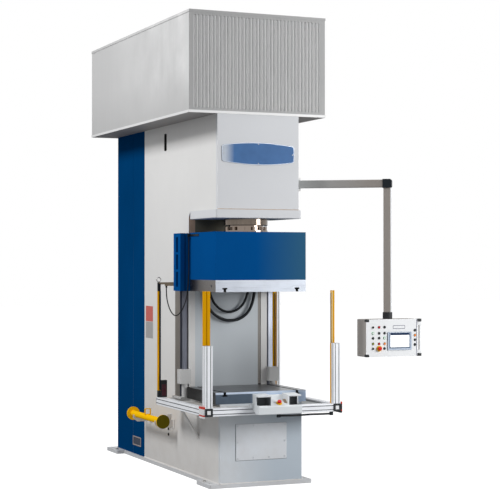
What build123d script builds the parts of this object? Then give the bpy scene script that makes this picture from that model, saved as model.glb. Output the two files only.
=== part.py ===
from build123d import *
import math
import os

# A C-frame hydraulic press with its power unit in a sheet-metal enclosure on the head.
# All sizes are in millimetres. X runs to the operator's right, Y into the machine, Z up.
# The origin lies on the floor, straight below the axis of the ram.

# Clearances
sliding_gap = 0.4       # between moving flat faces
rod_gap = 0.05          # shaft in its bearing, on the radius
loose_gap = 0.5         # buttons and screws in their holes

# Frame
frame_width = 904
frame_depth = 2300
side_plate_thickness = 72
front_plate_thickness = 40
top_plate_thickness = 40
throat_depth = 880
throat_corner_radius = 80
head_setback = 71
cable_slot_width = 80
cable_slot_height = 190
cable_slot_inset = 697      # slot centre to the rear edge of the side plate
cable_slot_drop = 181       # slot centre to the top of the side plate

# Base plate
base_thickness = 40
base_margin = 18
base_front_lip = 10
base_rear_lip = 83
base_tab_reach = 112        # tabs beyond the side plates
base_tab_length = 385
base_corner_radius = 15
anchor_hole_radius = 14
anchor_inset_x = 42         # hole to the outer edge of its tab
anchor_inset_y = 110        # hole to the end of the base plate
levelling_spacing = 150
levelling_screw_radius = 12
levelling_head_radius = 18
levelling_head_height = 15

# Bed
bed_height = 960
bed_width = 1000
bed_depth = 800
bed_plate_thickness = 118
slot_spacing = 800
slot_neck_width = 28
slot_head_width = 54
slot_head_height = 16
slot_depth = 42
slot_rim = 20               # least steel between the last slot and the side of the plate
cover_width = 560
cover_height = 365
cover_bottom = 270
cover_thickness = 6
cover_overlap = 20
cover_corner_radius = 12

# Ram
daylight = 1010
ram_stroke = 700
ram_plate_thickness = 120
ram_box_height = 490
ram_box_depth = 720
ram_wall = 40
ram_hub_radius = 230
ram_hub_bore_radius = 170
side_hole_radius = 13
side_hole_depth = 45
side_hole_spacing = 570

# Cylinder
rod_radius = 180
rod_flange_radius = 228
rod_flange_thickness = 20
flange_nut_radius = 15
flange_nut_height = 38
flange_nut_count = 12
top_clearance = 12
gland_radius = 228
gland_height = 70
gland_edge_chamfer = 6
gland_spigot_radius = 199
gland_spigot_length = 20
piston_radius = 199.6
piston_height = 100
barrel_bore_radius = 200
barrel_wall = 50
barrel_flange_radius = 280
barrel_flange_thickness = 55
barrel_end_gap = 10
barrel_cap_thickness = 60
barrel_headroom = 39

# Head plate
head_plate_thickness = 87
head_plate_overhang = 23
head_plate_front_lip = 21
head_plate_depth = 740
head_plate_corner_radius = 18
head_plate_edge_chamfer = 5

# Guides
guide_axis = 44             # centre of the T-head outside the side plate
guide_head_width = 48
guide_head_thickness = 18
guide_neck_width = 28
guide_neck_depth = 22
guide_body_width = 83
guide_body_depth = 145
guide_setback = 45          # throat wall to the front of the guide body
guide_bottom_drop = 110     # bed top to the foot of the guide
guide_foot_thickness = 20
shoe_height = 605
shoe_side_reach = 107       # shoe beyond the side of the ram
shoe_window_width = 60
shoe_window_height = 160
shoe_window_pitch = 182
shoe_window_depth = 50
shoe_groove_width = 22
shoe_groove_depth = 15
stop_height = 150
stop_overtravel = 130
stop_width = 113
stop_depth = 110
stop_tube_radius = 32
stop_tube_wall = 5

# Throat
throat_sheet = 6
throat_flange = 60
throat_gap = 35
hose_block_reach = 25
hose_block_height = 60
hose_block_margin = 32

# Rear cabinet
cabinet_depth = 976
cabinet_wall = 4
cabinet_seam_width = 5
cabinet_seam_depth = 2
cabinet_seam_inset = 400
cable_entry_width = 260
cable_entry_height = 85
cable_entry_lift = 110      # entry above the base plate
cable_entry_gap = 12        # entry to the seam
cable_entry_rim = 10
cable_entry_rim_height = 6

# Enclosure
enclosure_width = 1522
enclosure_front_lip = 4
enclosure_depth = 3296
enclosure_height = 1037
enclosure_sheet = 5
enclosure_lip_height = 26
enclosure_border = 48
enclosure_flange = 30
rib_count = 36
rib_depth = 10
rib_backing = 3

# Power unit
tank_width = 1100
tank_depth = 1000
tank_height = 430
tank_wall = 6
tank_lid_thickness = 12
tank_lid_lip = 20
tank_setback = 1450         # ram axis to the front of the tank
motor_radius = 150
motor_length = 420
motor_foot_height = 35
motor_foot_width = 260
pump_radius = 85
pump_length = 200
bell_radius = 120
bell_length = 60
valve_block_width = 300
valve_block_depth = 260
valve_block_height = 220
valve_radius = 38
valve_length = 110
valve_spacing = 140

# Guard frame
guard_width = 1480
guard_reach = 320               # guard front to bed front
guard_drop = 202                # bed top to the underside of the guard
guard_rear_reach = 1090         # bed front to the rear end of the side rails
profile_size = 80
profile_corner_radius = 3
profile_slot_spacing = 40
profile_slot_neck = 8
profile_slot_lip = 4.5
profile_slot_chamber = 18
profile_slot_total = 12
post_height = 612
rear_post_size = 40
rear_post_height = 1147
rear_post_inset = 57            # outer side of the guard to the rear post
rear_foot_width = 150
rear_foot_depth = 60
rear_foot_thickness = 6
end_cap_thickness = 7
end_cap_recess = 38
end_cap_recess_depth = 3
bracket_arm_size = 60
bracket_arm_wall = 5
bracket_strut_width = 55
bracket_strut_foot = 26
bracket_strut_tip = 15
bracket_drop = 340
bracket_front_setback = 600     # bed front to the braced arm
bracket_rear_inset = 50         # rear end of the side rails to the plain arm
sill_drop = 18
sill_thickness = 3
sill_flange = 40
sill_side_length = 550
marker_length = 120
marker_height = 112
marker_thickness = 18

# Light curtains
curtain_width = 30
curtain_depth = 36
curtain_height = 1147
rear_curtain_height = 1125
curtain_window_width = 18
curtain_window_depth = 2
curtain_foot_height = 57
curtain_inset = 16              # front curtain to the outer side of the guard or of the post
curtain_pair_gap = 5
curtain_post_gap = 11           # rear right curtain to its post
curtain_rear_inset = 21         # rear curtain to the rear end of the side rails
stay_height = 23
stay_lift = 72                  # top of the rear curtain to the underside of the stay
stay_clamp_height = 16
stay_clamp_length = 121
terminal_box_width = 72
terminal_box_depth = 50
terminal_box_height = 180

# Safety prop
prop_tube_radius = 34
prop_disc_radius = 75
prop_disc_thickness = 14
prop_shortfall = 10         # daylight minus the length of the prop
prop_side_gap = 168         # side plate to the axis of the stored prop
prop_axis_height = 557
prop_front_setback = 1210   # bed front to the front disc
prop_handle_width = 72
prop_handle_height = 66
prop_handle_thickness = 11
prop_holder_inset = 140
prop_holder_thickness = 10
prop_holder_depth = 80
prop_holder_lip = 14
prop_foot_width = 90
prop_foot_thickness = 8
prop_switch_width = 40
prop_switch_depth = 46
prop_switch_height = 120
prop_switch_setback = 200   # front disc to the switch

# Two-hand console
console_width = 460
console_depth = 172
console_offset = -4
console_drop = 65           # top of the guard rail to the underside of the console
console_front_height = 75
console_back_height = 182
console_heel_height = 47    # bottom of the upright back above the underside
console_heel_depth = 77     # back to the rear edge of the underside
console_edge_radius = 9
console_wall = 10
console_pocket_width = 120
console_pocket_depth = 130
console_pocket_floor = 57   # pocket floor above the underside
hood_height = 195           # top of the hoods above the underside
hood_fall = 12
hood_thickness = 12
hood_cheek = 80             # length of the cheek that closes the outer end of a hood
console_lug_width = 26
console_lug_depth = 60
console_lug_height = 34
palm_radius = 31
palm_height = 20
palm_edge_chamfer = 6
palm_stem_radius = 14
palm_stem_depth = 20
palm_travel = 6
stop_slope_drop = 40        # middle of the slope to the stop button, along Y

# Emergency stop buttons
stop_head_radius = 20
stop_head_height = 18
stop_head_chamfer = 4
stop_stem_radius = 11
stop_stem_depth = 15
stop_base_radius = 29
stop_base_height = 9
stop_travel = 5

# Swing arm
arm_lift = 280                  # head plate to the axis of the arm
arm_pivot_reach = 78            # side plate to the pivot
arm_pivot_setback = 300         # bed front to the pivot
arm_hub_radius = 48
arm_hub_height = 100
arm_pin_radius = 20
arm_tube_size = 80
arm_tube_wall = 4
arm_corner_radius = 8
arm_bracket_plate = 16
arm_bracket_width = 180
arm_bracket_height = 220
arm_ear_thickness = 18
drop_x = 1315
drop_y = -655
elbow_size = 92
elbow_edge_chamfer = 14
drop_tube_size = 76
coupling_radius = 50
coupling_height = 70
coupling_spigot_radius = 28
coupling_spigot_height = 60

# Operator panel
panel_width = 600
panel_height = 385
panel_depth = 200
panel_wall = 4
panel_bottom = 1300
panel_edge_radius = 8
panel_front_thickness = 6
screen_width = 280
screen_height = 186
screen_centre_x = 86
screen_centre_z = -33
screen_rim = 38
screen_thickness = 8
screen_sink = 4
handle_radius = 12
handle_gap = 34
handle_margin = 30
handle_foot_height = 34
handle_foot_depth = 40
button_columns = [-222, -152, -88]
button_rows = [111, 50, 0, -58, -107]
button_radius = 11
button_ring_radius = 15
button_ring_height = 3
button_cap_height = 7
button_stem_depth = 14
button_travel = 4
knob_height = 16
knob_grip_width = 7
side_column_x = 268
side_column_rows = [74, 23, -24, -74]

# Hoses and cables
outer_hose_radius = 16
inner_hose_radius = 13.5
sensor_cable_radius = 6
console_cable_radius = 10
gland_nut_radius = 15
clamp_half_width = 12
clamp_height = 40
strap_length = 240
strap_height = 22
strap_thickness = 6

# Places that follow from the sizes above
half_frame = frame_width / 2
plate_inner = half_frame - side_plate_thickness
bed_front = -bed_depth / 2
bed_rear = bed_depth / 2
bed_half = bed_width / 2
throat_wall = bed_front + throat_depth
frame_rear = bed_front + frame_depth
head_front = bed_front + head_setback
bed_underside = bed_height - bed_plate_thickness
guard_underside = bed_height - guard_drop
ram_bottom = bed_height + daylight
ram_box_bottom = ram_bottom + ram_plate_thickness
ram_top = ram_box_bottom + ram_box_height
ram_rear = bed_front + ram_box_depth
gland_bottom = ram_top + rod_flange_thickness + flange_nut_height + top_clearance
head_underside = gland_bottom + gland_height
head_plate_top = head_underside + head_plate_thickness
head_plate_front = head_front - head_plate_front_lip
barrel_floor = head_plate_top + gland_spigot_length
piston_bottom = barrel_floor + ram_stroke
barrel_inner_top = piston_bottom + piston_height + barrel_end_gap
barrel_top = barrel_inner_top + barrel_cap_thickness
frame_top = barrel_top + barrel_headroom + top_plate_thickness
base_front = bed_front - base_front_lip
cabinet_rear = frame_rear + cabinet_depth
base_rear = cabinet_rear + base_rear_lip
guide_front = throat_wall + guide_setback
guide_neck_front = guide_front - guide_neck_depth
guide_head_front = guide_neck_front - guide_head_thickness
guide_bottom = bed_height - guide_bottom_drop
guide_x = half_frame + guide_axis
shoe_top = ram_bottom + shoe_height
stop_top = ram_bottom - ram_stroke - stop_overtravel
hose_y = (bed_rear + throat_wall) / 2
guard_half = guard_width / 2
guard_inner = guard_half - profile_size
guard_front = bed_front - guard_reach
guard_back = bed_front + guard_rear_reach
guard_top = guard_underside + profile_size
curtain_top = guard_top + curtain_height
rear_curtain_y = guard_back - curtain_rear_inset - curtain_depth
rear_curtain_top = guard_top + rear_curtain_height
stay_underside = rear_curtain_top + stay_lift
rear_post_x = guard_half - rear_post_inset - rear_post_size
enclosure_front_y = head_front - enclosure_front_lip
enclosure_rear = enclosure_front_y + enclosure_depth
enclosure_half = enclosure_width / 2
enclosure_top = frame_top + enclosure_height
tank_floor = frame_top + enclosure_sheet
tank_rear = tank_setback + tank_depth
tank_top = tank_floor + tank_height + tank_lid_thickness
motor_axis_z = tank_top + motor_foot_height + motor_radius
motor_front = tank_setback + tank_depth / 5
motor_rear = motor_front + motor_length
prop_x = -half_frame - prop_side_gap
prop_length = daylight - prop_shortfall
prop_front = bed_front + prop_front_setback
prop_rear = prop_front + prop_length
console_back = guard_front
console_front = console_back - console_depth
console_bottom = guard_top - console_drop
console_rise = console_back_height - console_front_height
console_slope = math.degrees(math.atan2(console_rise, console_depth))
arm_z = head_plate_top + arm_lift
arm_pivot_x = half_frame + arm_pivot_reach
arm_pivot_y = bed_front + arm_pivot_setback
arm_length = math.hypot(drop_x - arm_pivot_x, drop_y - arm_pivot_y)
arm_angle = math.degrees(math.atan2(drop_y - arm_pivot_y, drop_x - arm_pivot_x))
panel_top = panel_bottom + panel_height
panel_centre_z = panel_bottom + panel_height / 2
panel_front_y = drop_y - panel_depth / 2
coupling_top = panel_top + coupling_height


# Helpers
def block(x0, x1, y0, y1, z0, z1):
    centre = Pos((x0 + x1) / 2, (y0 + y1) / 2, (z0 + z1) / 2)
    return centre * Box(x1 - x0, y1 - y0, z1 - z0)


def outline(*points):
    return make_face(Polyline(*points, close=True))


def along_x(sketch, x0, x1):
    return extrude(Plane.YZ.offset(x0) * sketch, x1 - x0)


def along_y(sketch, y0, y1):
    return extrude(Plane.XZ.offset(-y1) * sketch, y1 - y0)


def along_z(sketch, z0, z1):
    return extrude(Plane.XY.offset(z0) * sketch, z1 - z0)


def post(x, y, z0, z1, radius):
    return along_z(Pos(x, y) * Circle(radius), z0, z1)


def bar_along_y(x, z, y0, y1, radius):
    return along_y(Pos(x, z) * Circle(radius), y0, y1)


def mirrored(shape):
    return mirror(shape, Plane.YZ)


def round_corners(sketch, radius, *places):
    corners = [sketch.vertices().sort_by_distance((x, y, 0))[0] for x, y in places]
    return fillet(corners, radius)


# Base plate with four tabs, one anchor hole and one levelling screw in each
def tab_places(distance_from_end):
    x = half_frame + base_tab_reach - anchor_inset_x
    ends = [base_front + distance_from_end, base_rear - distance_from_end]
    return [(side * x, y) for side in (-1, 1) for y in ends]


def base_plate():
    plate = Pos(0, (base_front + base_rear) / 2) * Rectangle(
        2 * (half_frame + base_margin), base_rear - base_front
    )
    tab_width = 2 * (half_frame + base_tab_reach)
    for end in (base_front + base_tab_length / 2, base_rear - base_tab_length / 2):
        plate += Pos(0, end) * RectangleRounded(tab_width, base_tab_length, base_corner_radius)
    for x, y in tab_places(anchor_inset_y):
        plate -= Pos(x, y) * Circle(anchor_hole_radius)
    for x, y in tab_places(anchor_inset_y + levelling_spacing):
        plate -= Pos(x, y) * Circle(levelling_screw_radius + loose_gap)
    return along_z(plate, 0, base_thickness)


def levelling_screws():
    screws = []
    for x, y in tab_places(anchor_inset_y + levelling_spacing):
        shank = post(x, y, 0, base_thickness, levelling_screw_radius)
        hexagon = Pos(x, y) * RegularPolygon(levelling_head_radius, 6)
        screws.append(shank + along_z(hexagon, base_thickness, base_thickness + levelling_head_height))
    return Compound(screws)


# C-shaped side plates of the frame
def side_plate_right():
    front = bed_front + front_plate_thickness
    head = head_front + front_plate_thickness
    profile = outline(
        (front, base_thickness),
        (frame_rear, base_thickness),
        (frame_rear, frame_top),
        (head, frame_top),
        (head, head_plate_top),
        (throat_wall, head_plate_top),
        (throat_wall, bed_underside),
        (front, bed_underside),
    )
    profile = round_corners(
        profile, throat_corner_radius, (throat_wall, head_plate_top), (throat_wall, bed_underside)
    )
    return along_x(profile, plate_inner, half_frame)


def side_plate_left():
    slot = Pos(frame_rear - cable_slot_inset, frame_top - cable_slot_drop) * RectangleRounded(
        cable_slot_width, cable_slot_height, cable_slot_width / 4
    )
    return mirrored(side_plate_right()) - along_x(slot, -half_frame - 1, -plate_inner + 1)


def head_front_plate():
    rear = head_front + front_plate_thickness
    return block(-half_frame, half_frame, head_front, rear, head_plate_top, frame_top)


def head_bottom_plate():
    half = half_frame + head_plate_overhang
    rear = head_plate_front + head_plate_depth
    plate = block(-half, half, head_plate_front, rear, head_underside, head_plate_top)
    plate = fillet(plate.edges().filter_by(Axis.Z), head_plate_corner_radius)
    rim = plate.faces().sort_by(Axis.Z)[0].outer_wire().edges()
    plate = chamfer(rim, head_plate_edge_chamfer)
    return plate - post(0, 0, head_underside - 1, head_plate_top + 1, gland_spigot_radius + rod_gap)


def frame_top_plate():
    front = head_front + front_plate_thickness
    return block(-plate_inner, plate_inner, front, frame_rear, frame_top - top_plate_thickness, frame_top)


# Sheet that closes the throat, folded back at both sides, with the fixed hose block
def throat_panel():
    left = -plate_inner
    right = plate_inner - throat_gap
    back = throat_wall + throat_flange
    inside = throat_wall + throat_sheet
    sheet = outline(
        (left, throat_wall),
        (right, throat_wall),
        (right, back),
        (right - throat_sheet, back),
        (right - throat_sheet, inside),
        (left + throat_sheet, inside),
        (left + throat_sheet, back),
        (left, back),
    )
    x0 = inner_hose_points[0][0] - hose_block_margin
    x1 = outer_hose_points[0][0] + hose_block_margin
    z0 = outer_hose_points[0][2]
    hose_block = block(x0, x1, hose_y - hose_block_reach, throat_wall, z0, z0 + hose_block_height)
    return along_z(sheet, bed_underside, head_plate_top) + hose_block


# Bed: front plate with an access opening, its cover and the bolster with T-slots
def bed_front_plate():
    rear = bed_front + front_plate_thickness
    plate = block(-half_frame, half_frame, bed_front, rear, base_thickness, bed_underside)
    half = cover_width / 2 - cover_overlap
    low = cover_bottom + cover_overlap
    high = cover_bottom + cover_height - cover_overlap
    return plate - block(-half, half, bed_front - 1, rear + 1, low, high)


def access_cover():
    centre_z = cover_bottom + cover_height / 2
    face = Pos(0, centre_z) * RectangleRounded(cover_width, cover_height, cover_corner_radius)
    return along_y(face, bed_front - cover_thickness, bed_front)


# As many slots as fit across the plate, evenly about its middle
def slotted_plate(width, thickness):
    section = Rectangle(width, thickness)
    neck_z = thickness / 2 - slot_depth / 2
    head_z = thickness / 2 - slot_depth + slot_head_height / 2
    count = int((width - slot_head_width - 2 * slot_rim) // slot_spacing) + 1
    for column in range(count):
        x = (column - (count - 1) / 2) * slot_spacing
        section -= Pos(x, neck_z) * Rectangle(slot_neck_width, slot_depth)
        section -= Pos(x, head_z) * Rectangle(slot_head_width, slot_head_height)
    return section


def bed_plate():
    section = Pos(0, bed_height - bed_plate_thickness / 2) * slotted_plate(bed_width, bed_plate_thickness)
    return along_y(section, bed_front, bed_rear)


# Ram: slotted plate below a welded box with a tubular hub under the piston rod
def ram_plate():
    section = Rot(0, 0, 180) * slotted_plate(bed_width, ram_plate_thickness)
    section = Pos(0, ram_bottom + ram_plate_thickness / 2) * section
    plate = along_y(section, bed_front, bed_rear)
    z = ram_bottom + ram_plate_thickness / 2
    for y in (-side_hole_spacing / 2, side_hole_spacing / 2):
        hole = Pos(y, z) * Circle(side_hole_radius)
        plate -= along_x(hole, -bed_half - 1, -bed_half + side_hole_depth)
        plate -= along_x(hole, bed_half - side_hole_depth, bed_half + 1)
    notch = block(
        half_frame - loose_gap, bed_half + 1, ram_rear - loose_gap, bed_rear + 1, ram_bottom - 1, ram_top
    )
    return plate - notch - mirrored(notch)


def ram_box():
    roof = ram_top - ram_wall
    shell = block(-bed_half, bed_half, bed_front, ram_rear, ram_box_bottom, ram_top)
    shell -= block(
        -bed_half + ram_wall, bed_half - ram_wall, bed_front + ram_wall, ram_rear - ram_wall,
        ram_box_bottom - 1, roof,
    )
    hub = Circle(ram_hub_radius) - Circle(ram_hub_bore_radius)
    shell += along_z(hub, ram_box_bottom, roof)
    x0 = outer_hose_points[-1][0] - hose_block_margin
    x1 = inner_hose_points[-1][0] + hose_block_margin
    z0 = outer_hose_points[-1][2]
    hose_block = block(x0, x1, ram_rear, hose_y + hose_block_reach, z0, z0 + hose_block_height)
    return Compound([shell, hose_block, cable_bracket()])


# Bracket on the side of the ram that holds the moving end of the sensor cable
def cable_bracket():
    x, y, z = sensor_cable_points[-1]
    half = clamp_half_width
    clamp = block(x - half, -bed_half, y - half, y + half, z, z + clamp_height)
    strap = block(
        -bed_half - strap_thickness, -bed_half, y - strap_length, y + half, z + half, z + half + strap_height
    )
    return clamp + strap


def piston_rod():
    profile = outline(
        (0, ram_top),
        (rod_flange_radius, ram_top),
        (rod_flange_radius, ram_top + rod_flange_thickness),
        (rod_radius, ram_top + rod_flange_thickness),
        (rod_radius, piston_bottom),
        (piston_radius, piston_bottom),
        (piston_radius, piston_bottom + piston_height),
        (0, piston_bottom + piston_height),
    )
    rod = revolve(Plane.XZ * profile, Axis.Z)
    nut = RegularPolygon(flange_nut_radius, 6)
    ring = (rod_flange_radius + rod_radius) / 2
    z0 = ram_top + rod_flange_thickness
    for place in PolarLocations(ring, flange_nut_count):
        rod += along_z(place * nut, z0, z0 + flange_nut_height)
    return rod


# Cylinder in the head
def cylinder_gland():
    bore = rod_radius + rod_gap
    profile = outline(
        (bore, gland_bottom),
        (gland_radius, gland_bottom),
        (gland_radius, head_underside),
        (gland_spigot_radius, head_underside),
        (gland_spigot_radius, barrel_floor),
        (bore, barrel_floor),
    )
    rim = profile.vertices().sort_by_distance((gland_radius, gland_bottom, 0))[0]
    return revolve(Plane.XZ * chamfer(rim, gland_edge_chamfer), Axis.Z)


def cylinder_barrel():
    outer = barrel_bore_radius + barrel_wall
    flange_top = head_plate_top + barrel_flange_thickness
    profile = outline(
        (barrel_bore_radius, head_plate_top),
        (barrel_flange_radius, head_plate_top),
        (barrel_flange_radius, flange_top),
        (outer, flange_top),
        (outer, barrel_top),
        (0, barrel_top),
        (0, barrel_inner_top),
        (barrel_bore_radius, barrel_inner_top),
    )
    return revolve(Plane.XZ * profile, Axis.Z)


# Guides: a T-headed rail on each side plate and a shoe that grips it
def guide_rail_right():
    outer = half_frame + guide_body_width
    back = guide_front + guide_body_depth
    neck = guide_neck_width / 2
    head = guide_head_width / 2
    section = outline(
        (half_frame, guide_front),
        (guide_x - neck, guide_front),
        (guide_x - neck, guide_neck_front),
        (guide_x - head, guide_neck_front),
        (guide_x - head, guide_head_front),
        (guide_x + head, guide_head_front),
        (guide_x + head, guide_neck_front),
        (guide_x + neck, guide_neck_front),
        (guide_x + neck, guide_front),
        (outer, guide_front),
        (outer, back),
        (half_frame, back),
    )
    return along_z(section, guide_bottom, shoe_top)


def guide_shoe_right():
    inner = half_frame + sliding_gap
    outer = bed_half + shoe_side_reach
    back = guide_front - sliding_gap
    neck = guide_neck_width / 2 + sliding_gap
    head = guide_head_width / 2 + sliding_gap
    pocket_back = guide_neck_front + sliding_gap
    pocket_front = guide_head_front - sliding_gap
    groove = outer - shoe_side_reach / 2
    section = outline(
        (inner, ram_rear),
        (groove - shoe_groove_width / 2, ram_rear),
        (groove - shoe_groove_width / 2, ram_rear + shoe_groove_depth),
        (groove + shoe_groove_width / 2, ram_rear + shoe_groove_depth),
        (groove + shoe_groove_width / 2, ram_rear),
        (outer, ram_rear),
        (outer, back),
        (guide_x + neck, back),
        (guide_x + neck, pocket_back),
        (guide_x + head, pocket_back),
        (guide_x + head, pocket_front),
        (guide_x - head, pocket_front),
        (guide_x - head, pocket_back),
        (guide_x - neck, pocket_back),
        (guide_x - neck, back),
        (inner, back),
    )
    shoe = along_z(section, ram_bottom, shoe_top)
    window_y = (ram_rear + back) / 2
    for step in (-1, 0, 1):
        z = ram_bottom + shoe_height / 2 + step * shoe_window_pitch
        window = Pos(window_y, z) * RectangleRounded(shoe_window_width, shoe_window_height, 8)
        shoe -= along_x(window, outer - shoe_window_depth, outer + 1)
    return shoe


def guide_shoes():
    return Compound([guide_shoe_right(), mirrored(guide_shoe_right())])


# Overtravel stop: a block round the rail on a tube that stands on the guide's foot
def guide_stop_right():
    outer = half_frame + stop_width
    front = guide_front - stop_depth
    tube_y = guide_head_front - stop_tube_radius
    tube_x = half_frame + stop_width / 2
    stop_bottom = stop_top - stop_height
    head = guide_head_width / 2
    neck = guide_neck_width / 2
    collar = outline(
        (half_frame, front),
        (outer, front),
        (outer, guide_front),
        (guide_x + neck, guide_front),
        (guide_x + neck, guide_neck_front),
        (guide_x + head, guide_neck_front),
        (guide_x + head, guide_head_front),
        (guide_x - head, guide_head_front),
        (guide_x - head, guide_neck_front),
        (guide_x - neck, guide_neck_front),
        (guide_x - neck, guide_front),
        (half_frame, guide_front),
    )
    stop = along_z(collar, stop_bottom, stop_top)
    tube = Circle(stop_tube_radius) - Circle(stop_tube_radius - stop_tube_wall)
    stop += along_z(Pos(tube_x, tube_y) * tube, guide_bottom, stop_bottom)
    back = guide_front + guide_body_depth
    foot_bottom = guide_bottom - guide_foot_thickness
    foot_front = tube_y - stop_tube_radius
    return stop + block(half_frame, outer, foot_front, back, foot_bottom, guide_bottom)


def guide_stops():
    return Compound([guide_stop_right(), mirrored(guide_stop_right())])


# Cabinet behind the frame, folded from sheet and open towards the frame
def rear_cabinet():
    outer = block(-half_frame, half_frame, frame_rear, cabinet_rear, base_thickness, frame_top)
    inner = block(
        -half_frame + cabinet_wall, half_frame - cabinet_wall, frame_rear - 1, cabinet_rear - cabinet_wall,
        base_thickness + cabinet_wall, frame_top - cabinet_wall,
    )
    seam_y = frame_rear + cabinet_seam_inset
    entry_y = seam_y - cable_entry_gap - cable_entry_width / 2
    entry_z = base_thickness + cable_entry_lift + cable_entry_height / 2
    rim = Pos(entry_y, entry_z) * Rectangle(
        cable_entry_width + 2 * cable_entry_rim, cable_entry_height + 2 * cable_entry_rim
    )
    opening = Pos(entry_y, entry_z) * Rectangle(cable_entry_width, cable_entry_height)
    cabinet = outer - inner
    for side in (-1, 1):
        seam_x = side * (half_frame - cabinet_seam_depth)
        cabinet -= block(
            min(seam_x, side * (half_frame + 1)), max(seam_x, side * (half_frame + 1)),
            seam_y, seam_y + cabinet_seam_width, base_thickness - 1, frame_top + 1,
        )
    cabinet += along_x(rim, -half_frame - cable_entry_rim_height, -half_frame)
    return cabinet - along_x(opening, -half_frame - cable_entry_rim_height - 1, -half_frame + cabinet_wall + 1)


# Enclosure of the power unit: tray and roof with upturned lips, ribbed front, folded walls
def lipped_sheet(sheet_z0, sheet_z1, lip_z0, lip_z1):
    sheet = block(
        -enclosure_half, enclosure_half, enclosure_front_y, enclosure_rear, sheet_z0, sheet_z1
    )
    lip = block(-enclosure_half, enclosure_half, enclosure_front_y, enclosure_rear, lip_z0, lip_z1)
    lip -= block(
        -enclosure_half + enclosure_sheet, enclosure_half - enclosure_sheet,
        enclosure_front_y + enclosure_sheet, enclosure_rear - enclosure_sheet, lip_z0 - 1, lip_z1 + 1,
    )
    return sheet + lip


def enclosure_tray():
    floor = frame_top + enclosure_sheet
    return lipped_sheet(frame_top, floor, frame_top, frame_top + enclosure_lip_height)


def enclosure_roof():
    ceiling = enclosure_top - enclosure_sheet
    return lipped_sheet(ceiling, enclosure_top, enclosure_top - enclosure_lip_height, enclosure_top)


def enclosure_front():
    half = enclosure_half - enclosure_sheet
    face = enclosure_front_y + enclosure_sheet
    valley = face + rib_depth
    back = valley + rib_backing
    low = frame_top + enclosure_sheet
    high = enclosure_top - enclosure_sheet
    pitch = 2 * (half - enclosure_border) / rib_count
    points = [(-half, back), (-half, face)]
    for i in range(rib_count):
        x = -half + enclosure_border + i * pitch
        points += [(x, face), (x + 0.15 * pitch, valley), (x + 0.45 * pitch, valley), (x + 0.6 * pitch, face)]
    points += [(half, face), (half, back)]
    ribs = along_z(outline(*points), low + enclosure_border, high - enclosure_border)
    bottom = block(-half, half, face, back, low, low + enclosure_border)
    top = block(-half, half, face, back, high - enclosure_border, high)
    return ribs + bottom + top


# A flat wall with a flange folded inwards at each end, seen in plan
def folded_wall(length):
    t = enclosure_sheet
    f = enclosure_flange
    return outline(
        (0, 0), (0, length), (f, length), (f, length - t), (t, length - t), (t, t), (f, t), (f, 0)
    )


def enclosure_walls():
    low = frame_top + enclosure_sheet
    high = enclosure_top - enclosure_sheet
    wall_x = enclosure_half - enclosure_sheet
    front = enclosure_front_y + enclosure_sheet + rib_depth + rib_backing
    rear = enclosure_rear - enclosure_sheet
    side_length = rear - enclosure_sheet - front
    left = along_z(Pos(-wall_x, front) * folded_wall(side_length), low, high)
    back_wall = block(-wall_x, wall_x, rear - enclosure_sheet, rear, low, high)
    return Compound([left, mirrored(left), back_wall])


# Power unit inside the enclosure
def oil_tank():
    half = tank_width / 2
    shell_top = tank_floor + tank_height
    shell = block(-half, half, tank_setback, tank_rear, tank_floor, shell_top)
    shell -= block(
        -half + tank_wall, half - tank_wall, tank_setback + tank_wall, tank_rear - tank_wall,
        tank_floor + tank_wall, shell_top + 1,
    )
    lid = block(
        -half - tank_lid_lip, half + tank_lid_lip, tank_setback - tank_lid_lip, tank_rear + tank_lid_lip,
        shell_top, tank_top,
    )
    return Compound([shell, lid])


def drive_motor():
    half_foot = motor_foot_width / 2
    motor = bar_along_y(0, motor_axis_z, motor_front, motor_rear, motor_radius)
    foot_top = motor_axis_z - motor_radius / 2
    motor += block(-half_foot, half_foot, motor_front + 60, motor_rear - 60, tank_top, foot_top)
    bell = bar_along_y(0, motor_axis_z, motor_rear, motor_rear + bell_length, bell_radius)
    pump_rear = motor_rear + bell_length + pump_length
    pump = bell + bar_along_y(0, motor_axis_z, motor_rear + bell_length, pump_rear, pump_radius)
    return Compound([motor, pump])


def valve_block():
    half_x = valve_block_width / 2
    half_y = valve_block_depth / 2
    top = tank_floor + valve_block_height
    manifold = block(-half_x, half_x, -half_y, half_y, tank_floor, top)
    for x in (-valve_spacing / 2, valve_spacing / 2):
        manifold += post(x, 0, top, top + valve_length, valve_radius)
    return manifold


# Guard frame of slotted aluminium profile
def slotted_section(size):
    section = RectangleRounded(size, size, profile_corner_radius)
    neck = profile_slot_neck / 2
    chamber = profile_slot_chamber / 2
    slot = outline(
        (-neck, 1),
        (neck, 1),
        (neck, -profile_slot_lip),
        (chamber, -profile_slot_lip),
        (neck, -profile_slot_total),
        (-neck, -profile_slot_total),
        (-chamber, -profile_slot_lip),
        (-neck, -profile_slot_lip),
    )
    offsets = [0] if size < 2 * profile_slot_spacing else [-profile_slot_spacing / 2, profile_slot_spacing / 2]
    for turn in (0, 90, 180, 270):
        for offset in offsets:
            section -= Rot(0, 0, turn) * Pos(offset, size / 2) * slot
    return section


def guard_front_rail():
    centre = Pos(guard_front + profile_size / 2, guard_underside + profile_size / 2)
    return along_x(centre * slotted_section(profile_size), -guard_inner, guard_inner)


def guard_side_rail_right():
    centre = Pos(guard_half - profile_size / 2, guard_underside + profile_size / 2)
    return along_y(centre * slotted_section(profile_size), guard_front, guard_back)


def guard_side_rails():
    return Compound([guard_side_rail_right(), mirrored(guard_side_rail_right())])


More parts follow.
